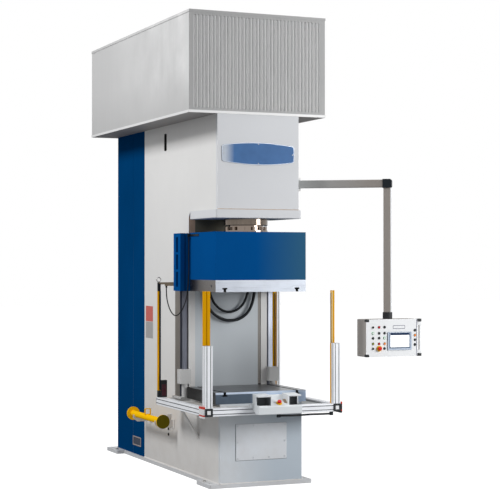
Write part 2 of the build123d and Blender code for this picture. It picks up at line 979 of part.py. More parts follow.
def guard_posts():
    x = guard_half - profile_size / 2
    y = guard_front + profile_size / 2
    right = along_z(Pos(x, y) * slotted_section(profile_size), guard_top, guard_top + post_height)
    foot_top = guard_top + rear_foot_thickness
    foot = block(
        guard_half - rear_foot_width, guard_half, guard_back - rear_foot_depth, guard_back, guard_top, foot_top
    )
    centre = Pos(rear_post_x + rear_post_size / 2, rear_curtain_y + rear_post_size / 2)
    rear = along_z(centre * slotted_section(rear_post_size), foot_top, guard_top + rear_post_height)
    return Compound([right, mirrored(right), foot, rear])


# Arms that carry the side rails, the front one braced by a diagonal flat
def guard_bracket(y, braced):
    arm_top = guard_underside + (profile_size + bracket_arm_size) / 2
    arm_low = arm_top - bracket_arm_size
    z = (arm_top + arm_low) / 2
    hollow = bracket_arm_size - 2 * bracket_arm_wall
    section = Pos(y, z) * (Rectangle(bracket_arm_size, bracket_arm_size) - Rectangle(hollow, hollow))
    bracket = along_x(section, half_frame, guard_inner)
    if braced:
        foot = arm_low - bracket_drop
        strut = outline(
            (half_frame, foot),
            (guard_inner, arm_low),
            (guard_inner - bracket_strut_tip, arm_low),
            (half_frame, foot + bracket_strut_foot),
        )
        bracket += along_y(strut, y - bracket_strut_width / 2, y + bracket_strut_width / 2)
    return bracket


def guard_brackets():
    front = guard_bracket(bed_front + bracket_front_setback, True)
    rear = guard_bracket(guard_back - bracket_rear_inset, False)
    return Compound([front, mirrored(front), rear, mirrored(rear)])


# Sill sheet that closes the gap between the bed and the guard rails, flanged down at the front
def sill_sheet():
    top = guard_top - sill_drop
    low = top - sill_thickness
    front = guard_front + profile_size
    sheet = block(-guard_inner, guard_inner, front, bed_front, low, top)
    sheet += block(-guard_inner, guard_inner, front, front + sill_thickness, top - sill_flange, top)
    for side in (-1, 1):
        x0 = min(side * half_frame, side * guard_inner)
        x1 = max(side * half_frame, side * guard_inner)
        sheet += block(x0, x1, bed_front, bed_front + sill_side_length, low, top)
    return sheet


def guard_trim():
    x = guard_half - profile_size / 2
    z = guard_underside + profile_size / 2
    cap = Pos(x, z) * RectangleRounded(profile_size, profile_size, profile_corner_radius)
    face = guard_front - end_cap_thickness
    front_cap = along_y(cap, face, guard_front)
    recess = Pos(x, z) * RectangleRounded(end_cap_recess, end_cap_recess, profile_corner_radius)
    front_cap -= along_y(recess, face - 1, face + end_cap_recess_depth)
    rear_cap = along_y(cap, guard_back, guard_back + end_cap_thickness)
    marker_face = Pos(guard_front + marker_length / 2, z) * RectangleRounded(
        marker_length, marker_height, profile_corner_radius
    )
    marker = along_x(marker_face, guard_half, guard_half + marker_thickness)
    right = [front_cap, rear_cap, marker]
    return Compound(right + [mirrored(piece) for piece in right])


# Light curtains: slim housings with a sunk window along one face
def curtain(x, y, z0, z1, turn):
    section = RectangleRounded(curtain_width, curtain_depth, 4)
    window_y = curtain_depth / 2 - curtain_window_depth / 2
    section -= Pos(0, window_y) * Rectangle(curtain_window_width, curtain_window_depth)
    if turn in (90, -90):
        section = Rot(0, 0, turn) * section
        section = Pos(x + curtain_depth / 2, y + curtain_width / 2) * section
    else:
        section = Pos(x + curtain_width / 2, y + curtain_depth / 2) * Rot(0, 0, turn) * section
    return along_z(section, z0, z1)


def light_curtains():
    behind_post = guard_front + profile_size
    left_x = -guard_half + curtain_inset
    left_outer = curtain(left_x, behind_post, guard_top, curtain_top, 0)
    inner_x = left_x + curtain_width + curtain_pair_gap
    left_inner = curtain(inner_x, behind_post, guard_top, curtain_top, -90)
    right_inner = curtain(guard_inner + curtain_inset, behind_post, guard_top, curtain_top, 90)
    left_rear = rear_curtain(-guard_half, guard_top)
    right_x = rear_post_x - curtain_post_gap - curtain_width
    right_rear = rear_curtain(right_x, guard_top + rear_foot_thickness)
    return Compound([left_outer, left_inner, right_inner, left_rear, right_rear])


def rear_curtain(x, low):
    foot_top = guard_top + curtain_foot_height
    foot = block(x, x + curtain_width, rear_curtain_y, rear_curtain_y + curtain_depth, low, foot_top)
    return foot + curtain(x, rear_curtain_y, foot_top, rear_curtain_top, 180)


# Stay from the left guide to the top of the rear curtain, with a clamp for the sensor cable under it
def curtain_stay():
    rail_side = half_frame + guide_body_width
    top = stay_underside + stay_height
    clamp_low = stay_underside - stay_clamp_height
    curtain_side = -guard_half + curtain_width
    shape = outline(
        (-guard_half, rear_curtain_top),
        (curtain_side, rear_curtain_top),
        (curtain_side, stay_underside),
        (-rail_side - stay_clamp_length, stay_underside),
        (-rail_side - stay_clamp_length, clamp_low),
        (-rail_side, clamp_low),
        (-rail_side, top),
        (-guard_half, top),
    )
    middle = rear_curtain_y + curtain_depth / 2
    return along_y(shape, middle - stay_height / 2, middle + stay_height / 2)


# Small boxes: the terminal box at the foot of the left rear curtain and the prop's switch
def interlock_boxes():
    x0 = -guard_half + curtain_width
    terminal = block(
        x0, x0 + terminal_box_width, rear_curtain_y, rear_curtain_y + terminal_box_depth,
        guard_top, guard_top + terminal_box_height,
    )
    terminal = fillet(terminal.edges().filter_by(Axis.Z), 6)
    y = prop_front + prop_switch_setback
    switch = block(
        -half_frame - prop_switch_depth, -half_frame, y, y + prop_switch_width,
        prop_axis_height - prop_switch_height / 2, prop_axis_height + prop_switch_height / 2,
    )
    switch = fillet(switch.edges().filter_by(Axis.X), 6)
    return Compound([terminal, switch])


# Safety prop stored on the left side, and the two holders that it lies in
def safety_prop():
    prop = bar_along_y(prop_x, prop_axis_height, prop_front, prop_rear, prop_tube_radius)
    for y in (prop_front, prop_rear - prop_disc_thickness):
        prop += bar_along_y(prop_x, prop_axis_height, y, y + prop_disc_thickness, prop_disc_radius)
    bottom = prop_axis_height + prop_tube_radius - 6
    height = prop_handle_height + 6
    handle = Pos(prop_x, bottom + height / 2) * RectangleRounded(prop_handle_width, height, 8)
    inner_width = prop_handle_width - 2 * prop_handle_thickness
    inner_height = height - 2 * prop_handle_thickness
    handle -= Pos(prop_x, bottom + height / 2) * RectangleRounded(inner_width, inner_height, 3)
    middle = (prop_front + prop_rear) / 2
    return prop + along_y(handle, middle - prop_handle_thickness / 2, middle + prop_handle_thickness / 2)


def prop_holder(y):
    seat_radius = prop_tube_radius
    left = prop_x - seat_radius - prop_holder_lip
    plate = outline(
        (-half_frame, prop_axis_height),
        (left, prop_axis_height),
        (left, prop_axis_height - prop_holder_depth / 2),
        (prop_x, prop_axis_height - prop_holder_depth),
        (-half_frame, prop_axis_height - prop_holder_depth),
    )
    plate -= Pos(prop_x, prop_axis_height) * Circle(seat_radius)
    half = prop_foot_width / 2
    foot = block(
        -half_frame - prop_foot_thickness, -half_frame, y - half, y + half,
        prop_axis_height - prop_holder_depth - 10, prop_axis_height + 10,
    )
    return along_y(plate, y - prop_holder_thickness / 2, y + prop_holder_thickness / 2) + foot


def prop_holders():
    return Compound([prop_holder(prop_front + prop_holder_inset), prop_holder(prop_rear - prop_holder_inset)])


# Two-hand console on the front rail, with a hooded pocket for a palm button at each end
def console_profile():
    top = console_bottom + console_back_height
    profile = outline(
        (console_front, console_bottom),
        (console_front, console_bottom + console_front_height),
        (console_back, top),
        (console_back, console_bottom + console_heel_height),
        (console_back - console_heel_depth, console_bottom),
    )
    return round_corners(
        profile,
        console_edge_radius,
        (console_front, console_bottom + console_front_height),
        (console_front, console_bottom),
        (console_back - console_heel_depth, console_bottom),
    )


def pocket_centre(side):
    x = console_offset + side * (console_width / 2 - console_wall - console_pocket_width / 2)
    return x, (console_front + console_back) / 2


# Height of the sloping top at a place between the front and the back
def slope_height(y):
    return console_bottom + console_front_height + console_rise * (y - console_front) / console_depth


# A frame of reference at the stop button, with its Z axis square to the slope
def stop_place():
    y = (console_front + console_back) / 2 - stop_slope_drop
    return Pos(console_offset, y, slope_height(y)) * Rot(console_slope, 0, 0)


def console_hood(side):
    y0 = pocket_centre(side)[1] - console_pocket_depth / 2
    top = console_bottom + hood_height
    shape = outline(
        (console_back, slope_height(console_back) - console_wall),
        (console_back, top),
        (y0, top - hood_fall),
        (y0, slope_height(y0) - console_wall),
    )
    outer = console_offset + side * console_width / 2
    inner = outer - side * (console_pocket_width + 2 * console_wall)
    return along_x(shape, min(inner, outer), max(inner, outer))


# Room under a hood: the sunk pocket, and the way in from the front and from the outer end
def console_pocket(side):
    x, y = pocket_centre(side)
    half_x = console_pocket_width / 2
    half_y = console_pocket_depth / 2
    ceiling = console_bottom + hood_height - hood_fall - hood_thickness
    lip = slope_height(y - half_y)
    room = block(x - half_x, x + half_x, y - half_y, y + half_y, console_bottom + console_pocket_floor, ceiling)
    room += block(x - half_x, x + half_x, console_front, y + half_y, lip, ceiling)
    outer = x + side * (half_x + console_wall + 1)
    room += block(min(x, outer), max(x, outer), console_front, console_back - hood_cheek, lip, ceiling)
    return room


def console_housing():
    half = console_width / 2
    housing = along_x(console_profile(), console_offset - half, console_offset + half)
    floor = console_bottom + console_pocket_floor
    for side in (-1, 1):
        housing += console_hood(side)
        housing -= console_pocket(side)
        x, y = pocket_centre(side)
        hole = palm_stem_radius + loose_gap
        housing -= post(x, y, floor - palm_stem_depth - palm_travel - 1, floor + 1, hole)
        lug_x = console_offset + side * (half + console_lug_width / 2)
        housing += block(
            lug_x - console_lug_width / 2, lug_x + console_lug_width / 2,
            console_back - console_lug_depth / 2, console_back + console_lug_depth / 2,
            guard_top, guard_top + console_lug_height,
        )
    ring = Circle(stop_base_radius) - Circle(stop_stem_radius + loose_gap)
    housing += stop_place() * along_z(ring, -1, stop_base_height)
    well = Circle(stop_stem_radius + loose_gap)
    return housing - stop_place() * along_z(well, -stop_stem_depth - stop_travel, stop_base_height)


def palm_button(side):
    x, y = pocket_centre(side)
    floor = console_bottom + console_pocket_floor
    rest = floor + palm_travel + loose_gap
    head = post(x, y, rest, rest + palm_height, palm_radius)
    head = chamfer(head.edges().group_by(Axis.Z)[-1], palm_edge_chamfer)
    return head + post(x, y, floor - palm_stem_depth + loose_gap, rest, palm_stem_radius)


# Mushroom head on a stem, along Z from the face that it stands over
def stop_button():
    rest = stop_base_height + stop_travel + loose_gap
    head = post(0, 0, rest, rest + stop_head_height, stop_head_radius)
    head = chamfer(head.edges().group_by(Axis.Z)[-1], stop_head_chamfer)
    return head + post(0, 0, -stop_stem_depth + loose_gap, rest, stop_stem_radius)


def console_stop_button():
    return stop_place() * stop_button()


# Swing arm for the operator panel
def arm_bracket():
    low = arm_z - arm_bracket_height / 2
    high = arm_z + arm_bracket_height / 2
    half = arm_bracket_width / 2
    inner = half_frame + arm_bracket_plate
    bracket = block(half_frame, inner, arm_pivot_y - half, arm_pivot_y + half, low, high)
    ear = Pos(arm_pivot_x, arm_pivot_y) * Circle(arm_hub_radius)
    width = 2 * arm_hub_radius
    reach = arm_pivot_x - inner
    ear += Pos(inner + reach / 2, arm_pivot_y) * Rectangle(reach, width)
    hub_low = arm_z - arm_hub_height / 2
    hub_high = arm_z + arm_hub_height / 2
    bracket += along_z(ear, hub_high + sliding_gap, hub_high + sliding_gap + arm_ear_thickness)
    bracket += along_z(ear, hub_low - sliding_gap - arm_ear_thickness, hub_low - sliding_gap)
    return bracket + post(arm_pivot_x, arm_pivot_y, hub_low - 2, hub_high + 2, arm_pin_radius)


def square_tube(size):
    outer = RectangleRounded(size, size, arm_corner_radius)
    inner = size - 2 * arm_tube_wall
    return outer - RectangleRounded(inner, inner, arm_corner_radius - arm_tube_wall)


def swing_arm():
    at_pivot = Pos(arm_pivot_x, arm_pivot_y, 0) * Rot(0, 0, arm_angle)
    start = math.sqrt(arm_hub_radius ** 2 - (arm_tube_size / 2) ** 2)
    tube = along_x(Pos(0, arm_z) * square_tube(arm_tube_size), start, arm_length - elbow_size / 2)
    tube -= post(0, 0, arm_z - arm_hub_height, arm_z + arm_hub_height, arm_hub_radius)
    hub_low = arm_z - arm_hub_height / 2
    hub_high = arm_z + arm_hub_height / 2
    hub = Circle(arm_hub_radius) - Circle(arm_pin_radius + rod_gap)
    arm = tube + along_z(hub, hub_low, hub_high)
    drop = along_z(Pos(arm_length, 0) * square_tube(drop_tube_size), coupling_top, arm_z - elbow_size / 2)
    bush = RectangleRounded(drop_tube_size, drop_tube_size, arm_corner_radius)
    bush -= Circle(coupling_spigot_radius + rod_gap)
    drop += along_z(Pos(arm_length, 0) * bush, coupling_top, coupling_top + coupling_spigot_height)
    return Compound([at_pivot * arm, at_pivot * drop])


def arm_elbow():
    at_pivot = Pos(arm_pivot_x, arm_pivot_y, 0) * Rot(0, 0, arm_angle)
    elbow = Pos(arm_length, 0, arm_z) * Box(elbow_size, elbow_size, elbow_size)
    elbow = chamfer(elbow.edges().filter_by(Axis.Y).sort_by(Axis.X)[-2:], elbow_edge_chamfer)
    return at_pivot * elbow


# Operator panel
def panel_housing():
    half = panel_width / 2
    front = panel_front_y + panel_front_thickness
    face = Pos(drop_x, panel_centre_z) * RectangleRounded(panel_width, panel_height, panel_edge_radius)
    housing = along_y(face, front, panel_front_y + panel_depth)
    housing -= block(
        drop_x - half + panel_wall, drop_x + half - panel_wall, front - 1,
        panel_front_y + panel_depth - panel_wall, panel_bottom + panel_wall, panel_top - panel_wall,
    )
    housing += post(drop_x, drop_y, panel_top, coupling_top - sliding_gap, coupling_radius)
    spigot_top = coupling_top + coupling_spigot_height
    return housing + post(drop_x, drop_y, panel_top, spigot_top, coupling_spigot_radius)


def control_place(x, z):
    return Pos(drop_x + x, panel_front_y, panel_centre_z + z) * Rot(90, 0, 0)


key_switch_place = control_place(button_columns[0], button_rows[0])
selector_place = control_place(button_columns[0], button_rows[4])
panel_stop_place = control_place(button_columns[1], button_rows[4])
start_button_place = control_place(button_columns[0], button_rows[1])
return_button_place = control_place(button_columns[2], button_rows[2])


def panel_front():
    face = Pos(drop_x, panel_centre_z) * RectangleRounded(panel_width, panel_height, panel_edge_radius)
    plate = along_y(face, panel_front_y, panel_front_y + panel_front_thickness)
    hole = Circle(button_radius + loose_gap)
    ring = Circle(button_ring_radius) - hole
    for place in (key_switch_place, selector_place, start_button_place, return_button_place):
        plate -= place * along_z(hole, -panel_front_thickness - 1, 1)
        plate += place * along_z(ring, 0, button_ring_height)
    stop_hole = Circle(stop_stem_radius + loose_gap)
    plate -= panel_stop_place * along_z(stop_hole, -panel_front_thickness - 1, 1)
    plate += panel_stop_place * along_z(Circle(stop_base_radius) - stop_hole, 0, stop_base_height)
    moving = [(0, 0), (0, 4), (1, 4), (0, 1), (2, 2)]
    for column, x in enumerate(button_columns):
        for row, z in enumerate(button_rows):
            if (column, row) not in moving:
                plate += control_place(x, z) * fixed_button()
    for z in side_column_rows:
        plate += control_place(side_column_x, z) * fixed_button()
    return plate


def fixed_button():
    return post(0, 0, 0, button_cap_height, button_radius)


def push_button():
    rest = button_ring_height + button_travel
    return post(0, 0, -button_stem_depth, rest + 1, button_radius)


def rotary_knob():
    grip = Pos(0, 0, knob_height / 2) * Box(knob_grip_width, 2 * button_radius - 2, knob_height)
    return post(0, 0, -button_stem_depth, button_ring_height + 3, button_radius) + grip


def panel_screen():
    centre = Pos(drop_x + screen_centre_x, panel_centre_z + screen_centre_z)
    face = panel_front_y - screen_thickness
    screen = along_y(centre * RectangleRounded(screen_width, screen_height, 6), face, panel_front_y)
    display = centre * Rectangle(screen_width - 2 * screen_rim, screen_height - 2 * screen_rim)
    return screen - along_y(display, face - 1, face + screen_sink)


# Upright grip bar on the panel's right side, between two feet
def panel_handle():
    side = drop_x + panel_width / 2
    bar_x = side + handle_gap
    y = panel_front_y + handle_foot_depth / 2
    low = panel_bottom + handle_margin
    high = panel_top - handle_margin
    handle = post(bar_x, y, low, high, handle_radius)
    for z in (low, high - handle_foot_height):
        foot = Pos((side + bar_x + handle_radius) / 2, y) * RectangleRounded(
            bar_x + handle_radius - side, handle_foot_depth, 6
        )
        handle += along_z(foot, z, z + handle_foot_height)
    return handle


# Hoses between the throat panel and the ram, and the two cables
outer_hose_points = [
    (300, hose_y, ram_bottom + 430), (300, hose_y, ram_bottom + 195), (294, hose_y + 3, ram_bottom - 35),
    (237, hose_y + 1, ram_bottom - 222), (108, hose_y - 2, ram_bottom - 318), (-62, hose_y, ram_bottom - 323),
    (-212, hose_y + 2, ram_bottom - 237), (-294, hose_y + 1, ram_bottom - 72), (-305, hose_y, ram_bottom + 130),
    (-305, hose_y, ram_bottom + 330),
]
inner_hose_points = [
    (232, hose_y, ram_bottom + 430), (232, hose_y, ram_bottom + 215), (225, hose_y + 2, ram_bottom + 20),
    (172, hose_y, ram_bottom - 138), (66, hose_y - 2, ram_bottom - 226), (-58, hose_y, ram_bottom - 232),
    (-170, hose_y + 1, ram_bottom - 158), (-236, hose_y + 1, ram_bottom - 20), (-245, hose_y, ram_bottom + 155),
    (-245, hose_y, ram_bottom + 330),
]
sensor_cable_points = [
    (-642, 651, ram_bottom + 30), (-642, 651, ram_bottom - 40), (-639, 629, ram_bottom - 118),
    (-632, 571, ram_bottom - 205), (-621, 476, ram_bottom - 264), (-603, 385, ram_bottom - 254),
    (-574, 325, ram_bottom - 180), (-548, 301, ram_bottom - 85), (-532, 296, ram_bottom + 20),
    (-524, 299, ram_bottom + 125), (-519, 297, ram_bottom + 230), (-521, 300, ram_bottom + 340),
    (-520, 300, ram_bottom + 450), (-520, 300, ram_bottom + 560),
]
console_cable_points = [
    (20, -815, guard_underside - 8), (60, -815, guard_underside - 8), (115, -798, guard_underside - 12),
    (180, -762, guard_underside - 16), (250, -726, guard_underside - 20), (325, -704, guard_underside - 22),
    (425, -699, guard_underside - 20), (525, -701, guard_underside - 22), (580, -700, guard_underside - 22),
    (628, -700, guard_underside - 22),
]


def route(points):
    vectors = [Vector(*point) for point in points]
    radii = []
    for before, here, after in zip(vectors, vectors[1:], vectors[2:]):
        turn = (here - before).get_angle(after - here)
        shorter = min((here - before).length, (after - here).length)
        radii.append(0.45 * shorter / math.tan(math.radians(turn / 2)))
    return FilletPolyline(*vectors, radius=radii), radii


def tube(name, points, radius):
    path, radii = route(points)
    start = Plane(origin=path @ 0, z_dir=path % 0)
    solid = sweep(start * Circle(radius), path=path)
    expected = math.pi * radius ** 2 * path.length
    print(name, "radii", [round(r) for r in radii])
    print(name, "length", round(path.length), "volume ratio", round(solid.volume / expected, 4))
    return solid


def cable_glands():
    x, y, z = console_cable_points[0]
    console_gland = block(
        x - 2 * gland_nut_radius, x, y - gland_nut_radius, y + gland_nut_radius,
        z - gland_nut_radius, console_bottom,
    )
    x, y, z = console_cable_points[-1]
    rail_gland = block(
        x, x + 2 * gland_nut_radius, y - gland_nut_radius, y + gland_nut_radius,
        z - gland_nut_radius, guard_underside,
    )
    x, y, z = sensor_cable_points[0]
    stay_gland = post(x, y, z, stay_underside - stay_clamp_height, sensor_cable_radius + 4)
    return Compound([console_gland, rail_gland, stay_gland])


parts = {
    "base_plate": base_plate(),
    "levelling_screws": levelling_screws(),
    "side_plate_left": side_plate_left(),
    "side_plate_right": side_plate_right(),
    "head_front_plate": head_front_plate(),
    "head_bottom_plate": head_bottom_plate(),
    "frame_top_plate": frame_top_plate(),
    "throat_panel": throat_panel(),
    "bed_front_plate": bed_front_plate(),
    "access_cover": access_cover(),
    "bed_plate": bed_plate(),
    "cylinder_barrel": cylinder_barrel(),
    "cylinder_gland": cylinder_gland(),
    "guide_rail_left": mirrored(guide_rail_right()),
    "guide_rail_right": guide_rail_right(),
    "guide_stops": guide_stops(),
    "rear_cabinet": rear_cabinet(),
    "enclosure_tray": enclosure_tray(),
    "enclosure_front": enclosure_front(),
    "enclosure_walls": enclosure_walls(),
    "enclosure_roof": enclosure_roof(),
    "oil_tank": oil_tank(),
    "drive_motor": drive_motor(),
    "valve_block": valve_block(),
    "guard_front_rail": guard_front_rail(),
    "guard_side_rails": guard_side_rails(),
    "guard_posts": guard_posts(),
    "guard_brackets": guard_brackets(),
    "sill_sheet": sill_sheet(),
    "guard_trim": guard_trim(),
    "light_curtains": light_curtains(),
    "curtain_stay": curtain_stay(),
    "interlock_boxes": interlock_boxes(),
    "safety_prop": safety_prop(),
    "prop_holders": prop_holders(),
    "console_housing": console_housing(),
    "palm_button_left": palm_button(-1),
    "palm_button_right": palm_button(1),
    "console_stop_button": console_stop_button(),
    "arm_bracket": arm_bracket(),
    "swing_arm": swing_arm(),
    "arm_elbow": arm_elbow(),
    "panel_housing": panel_housing(),
    "panel_front": panel_front(),
    "panel_screen": panel_screen(),
    "panel_handle": panel_handle(),
    "panel_stop_button": panel_stop_place * stop_button(),
    "panel_selector": selector_place * rotary_knob(),
    "panel_key_switch": key_switch_place * rotary_knob(),
    "start_button": start_button_place * push_button(),
    "return_button": return_button_place * push_button(),
    "ram_box": ram_box(),
    "ram_plate": ram_plate(),
    "piston_rod": piston_rod(),
    "guide_shoes": guide_shoes(),
    "cable_glands": cable_glands(),
    "hose_outer": tube("hose_outer", outer_hose_points, outer_hose_radius),
    "hose_inner": tube("hose_inner", inner_hose_points, inner_hose_radius),
    "sensor_cable": tube("sensor_cable", sensor_cable_points, sensor_cable_radius),
    "console_cable": tube("console_cable", console_cable_points, console_cable_radius),
}

os.makedirs("parts", exist_ok=True)
for name, shape in parts.items():
    export_step(shape, f"parts/{name}.step")
print(len(parts), "parts written")
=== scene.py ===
import bpy
import bmesh
import math
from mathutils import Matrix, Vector


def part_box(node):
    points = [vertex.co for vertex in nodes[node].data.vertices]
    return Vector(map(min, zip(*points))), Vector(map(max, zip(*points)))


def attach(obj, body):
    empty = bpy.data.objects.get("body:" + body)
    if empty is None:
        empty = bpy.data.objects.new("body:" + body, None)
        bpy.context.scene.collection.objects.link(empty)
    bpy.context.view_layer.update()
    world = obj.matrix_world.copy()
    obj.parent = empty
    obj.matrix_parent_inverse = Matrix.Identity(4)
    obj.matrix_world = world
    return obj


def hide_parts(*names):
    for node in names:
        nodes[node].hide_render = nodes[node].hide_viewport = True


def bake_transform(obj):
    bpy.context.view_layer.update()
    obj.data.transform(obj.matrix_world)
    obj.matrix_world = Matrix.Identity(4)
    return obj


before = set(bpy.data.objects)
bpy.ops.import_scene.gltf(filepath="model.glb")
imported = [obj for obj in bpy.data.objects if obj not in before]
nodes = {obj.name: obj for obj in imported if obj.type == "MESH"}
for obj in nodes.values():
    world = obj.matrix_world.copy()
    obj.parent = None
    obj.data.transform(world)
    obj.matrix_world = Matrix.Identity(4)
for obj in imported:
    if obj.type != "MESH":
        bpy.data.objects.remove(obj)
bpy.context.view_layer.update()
scene = bpy.context.scene
scene.view_settings.view_transform = "Standard"
print("frame loaded:", len(nodes), "nodes")

# Camera, at the photograph's angle
cameraSettings = {
    "place": (-6.037, -14.145, 2.265),
    "yaw": 23.274,
    "tilt": 0.497,
    "lens": 106.32,
}


def addCamera(settings):
    data = bpy.data.cameras.new("camera")
    data.lens = settings["lens"]
    data.sensor_width = 36
    camera = bpy.data.objects.new("camera", data)
    camera.location = settings["place"]
    camera.rotation_euler = (math.radians(90 + settings["tilt"]), 0, math.radians(-settings["yaw"]))
    scene.collection.objects.link(camera)
    scene.camera = camera


addCamera(cameraSettings)
print("camera placed")


# Inputs of a material node: numbers and colours are set, and what another node gives is linked
def fillInputs(tree, node, inputs):
    for name, value in inputs.items():
        socket = node.inputs[name]
        if isinstance(value, bpy.types.NodeSocket):
            tree.links.new(value, socket)
        else:
            socket.default_value = (*value, 1) if socket.type == "RGBA" else value


def addNode(tree, kind, inputs):
    node = tree.nodes.new("ShaderNode" + kind)
    fillInputs(tree, node, inputs)
    return node


def startMaterial(name, color, roughness, metallic, gloss=0.5):
    material = bpy.data.materials.new(name)
    material.use_nodes = True
    material.diffuse_color = (*color, 1)
    tree = material.node_tree
    shader = tree.nodes["Principled BSDF"]
    fillInputs(tree, shader, {
        "Base Color": color, "Roughness": roughness, "Metallic": metallic, "Specular IOR Level": gloss,
    })
    return material, tree, shader


def placeNode(tree, scale=(1, 1, 1)):
    coordinates = addNode(tree, "TexCoord", {})
    mapping = addNode(tree, "Mapping", {"Vector": coordinates.outputs["Object"], "Scale": scale})
    return mapping.outputs["Vector"]


def noiseNode(tree, vector, scale, detail, roughness):
    noise = addNode(tree, "TexNoise", {
        "Vector": vector, "Scale": scale, "Detail": detail, "Roughness": roughness,
    })
    return noise.outputs["Fac"]


def rampNode(tree, value, low, high, lowColor, highColor):
    ramp = addNode(tree, "ValToRGB", {"Fac": value})
    for element, position, color in zip(ramp.color_ramp.elements, (low, high), (lowColor, highColor)):
        element.position = position
        element.color = (*color, 1)
    return ramp.outputs["Color"]


def rangeNode(tree, value, low, high, toLow, toHigh):
    node = addNode(tree, "MapRange", {
        "Value": value, "From Min": low, "From Max": high, "To Min": toLow, "To Max": toHigh,
    })
    return node.outputs["Result"]


def mixNode(tree, factor, first, second, blendType="MIX"):
    mix = addNode(tree, "Mix", {})
    mix.data_type = "RGBA"
    mix.blend_type = blendType
    fillInputs(tree, mix, {0: factor, 6: first, 7: second})
    return mix.outputs[2]


def bumpNode(tree, height, strength, distance):
    bump = addNode(tree, "Bump", {"Height": height, "Strength": strength, "Distance": distance})
    return bump.outputs["Normal"]


def mathNode(tree, operation, *values):
    node = addNode(tree, "Math", dict(enumerate(values)))
    node.operation = operation
    return node.outputs[0]


def axisNode(tree, vector, axis):
    return addNode(tree, "SeparateXYZ", {"Vector": vector}).outputs[axis]


# One axis of the place or the normal of the point that is shaded
def pointNode(tree, output, axis):
    return axisNode(tree, addNode(tree, "NewGeometry", {}).outputs[output], axis)


# Most of a noise lies between these two values
noiseBand = (0.3, 0.7)


# Colour that a noise makes a little darker and a little paler
def cloudNode(tree, noise, color, spread):
    shades = [tuple(min(1.0, part * factor) for part in color) for factor in (1 - spread, 1 + spread)]
    return rampNode(tree, noise, *noiseBand, *shades)


# Colour that a noise darkens in places
def shadeNode(tree, noise, base, darkest):
    tone = rampNode(tree, noise, *noiseBand, (darkest,) * 3, (1.0,) * 3)
    return mixNode(tree, 1.0, base, tone, "MULTIPLY")


# Colour that turns into another along an axis: where it starts, where it ends and what it becomes
def driftAlong(tree, vector, base, look):
    for axis in "XYZ":
        if axis in look:
            start, end, color = look[axis]
            share = rangeNode(tree, axisNode(tree, vector, axis), start, end, 0.0, 1.0)
            base = mixNode(tree, share, base, color)
    return base


# Paint: faint clouds in the colour, orange peel, grime that gathers low down
def paintMaterial(name, color, roughness, look):
    material, tree, shader = startMaterial(name, color, roughness, 0.0, look["gloss"])
    vector = placeNode(tree)
    clouds = noiseNode(tree, vector, look["cloudScale"], 4, 0.6)
    base = cloudNode(tree, clouds, color, look["cloudSpread"])
    if look["grime"]:
        blotches = noiseNode(tree, vector, 6, 6, 0.65)
        height = pointNode(tree, "Position", "Z")
        low = rangeNode(tree, height, 0.02, look["grimeTop"], look["grime"], 0.0)
        base = mixNode(tree, mathNode(tree, "MULTIPLY", blotches, low), base, look["grimeColor"])
    streaks = noiseNode(tree, vector, 14, 5, 0.6)
    peel = noiseNode(tree, vector, look["peelScale"], 2, 0.5)
    fillInputs(tree, shader, {
        "Base Color": driftAlong(tree, vector, base, look),
        "Roughness": rangeNode(tree, streaks, *noiseBand, roughness - 0.05, roughness + 0.06),
        "Normal": bumpNode(tree, peel, look["peel"], 0.0006),
    })
    return material


# Metal: fine lines along one axis, colour and gloss that vary with them
def metalMaterial(name, color, roughness, look):
    material, tree, shader = startMaterial(name, color, roughness, look.get("metallic", 1.0))
    vector = placeNode(tree)
    lines = noiseNode(tree, placeNode(tree, look["lineScale"]), 1.0, 5, 0.7)
    clouds = noiseNode(tree, vector, look["cloudScale"], 4, 0.6)
    base = cloudNode(tree, lines, color, look["lineSpread"])
    base = shadeNode(tree, clouds, base, 1 - look["cloudSpread"])
    # Faces that look along X take a darker colour: painted shade on the sides
    if "sideColor" in look:
        sideways = mathNode(tree, "ABSOLUTE", pointNode(tree, "Normal", "X"))
        side = rangeNode(tree, sideways, 0.75, 0.85, 0.0, 1.0)
        base = mixNode(tree, side, base, look["sideColor"])
    fillInputs(tree, shader, {
        "Base Color": driftAlong(tree, vector, base, look),
        "Roughness": rangeNode(tree, lines, *noiseBand, roughness * 0.85, roughness * 1.2),
        "Normal": bumpNode(tree, lines, look["relief"], 0.0004),
    })
    return material


# Plastic and rubber: fine grain and a little dust
def plasticMaterial(name, color, roughness, grain=0.12, grainScale=900, dust=0.03):
    material, tree, shader = startMaterial(name, color, roughness, 0.0, 0.2)
    vector = placeNode(tree)
    blotches = noiseNode(tree, vector, 30, 5, 0.6)
    dusty = tuple(part * (1 - dust) + 0.45 * dust for part in color)
    fillInputs(tree, shader, {
        "Base Color": rampNode(tree, blotches, 0.35, 0.75, color, dusty),
        "Normal": bumpNode(tree, noiseNode(tree, vector, grainScale, 2, 0.5), grain, 0.0003),
    })
    return material


# Lit screen: faint grain, and a glow of its own
def glowMaterial(name, color, glow):
    material = plasticMaterial(name, color, 0.15, 0.01)
    tree = material.node_tree
    fillInputs(tree, tree.nodes["Principled BSDF"], {"Emission Color": color, "Emission Strength": glow})
    return material


# Smooth face whose colour drifts into another along X, and into a paler one along its top if given; the
# drifts paint glare, shade and reflection
def fadeMaterial(name, leftColor, look):
    material, tree, shader = startMaterial(name, look["X"][2], 0.3, 0.0, 0.2)
    vector = placeNode(tree)
    base = driftAlong(tree, vector, leftColor, look)
    fillInputs(tree, shader, {
        "Base Color": shadeNode(tree, noiseNode(tree, vector, 7, 4, 0.6), base, 0.86),
        "Normal": bumpNode(tree, noiseNode(tree, vector, 500, 2, 0.5), 0.04, 0.0003),
    })
    return material
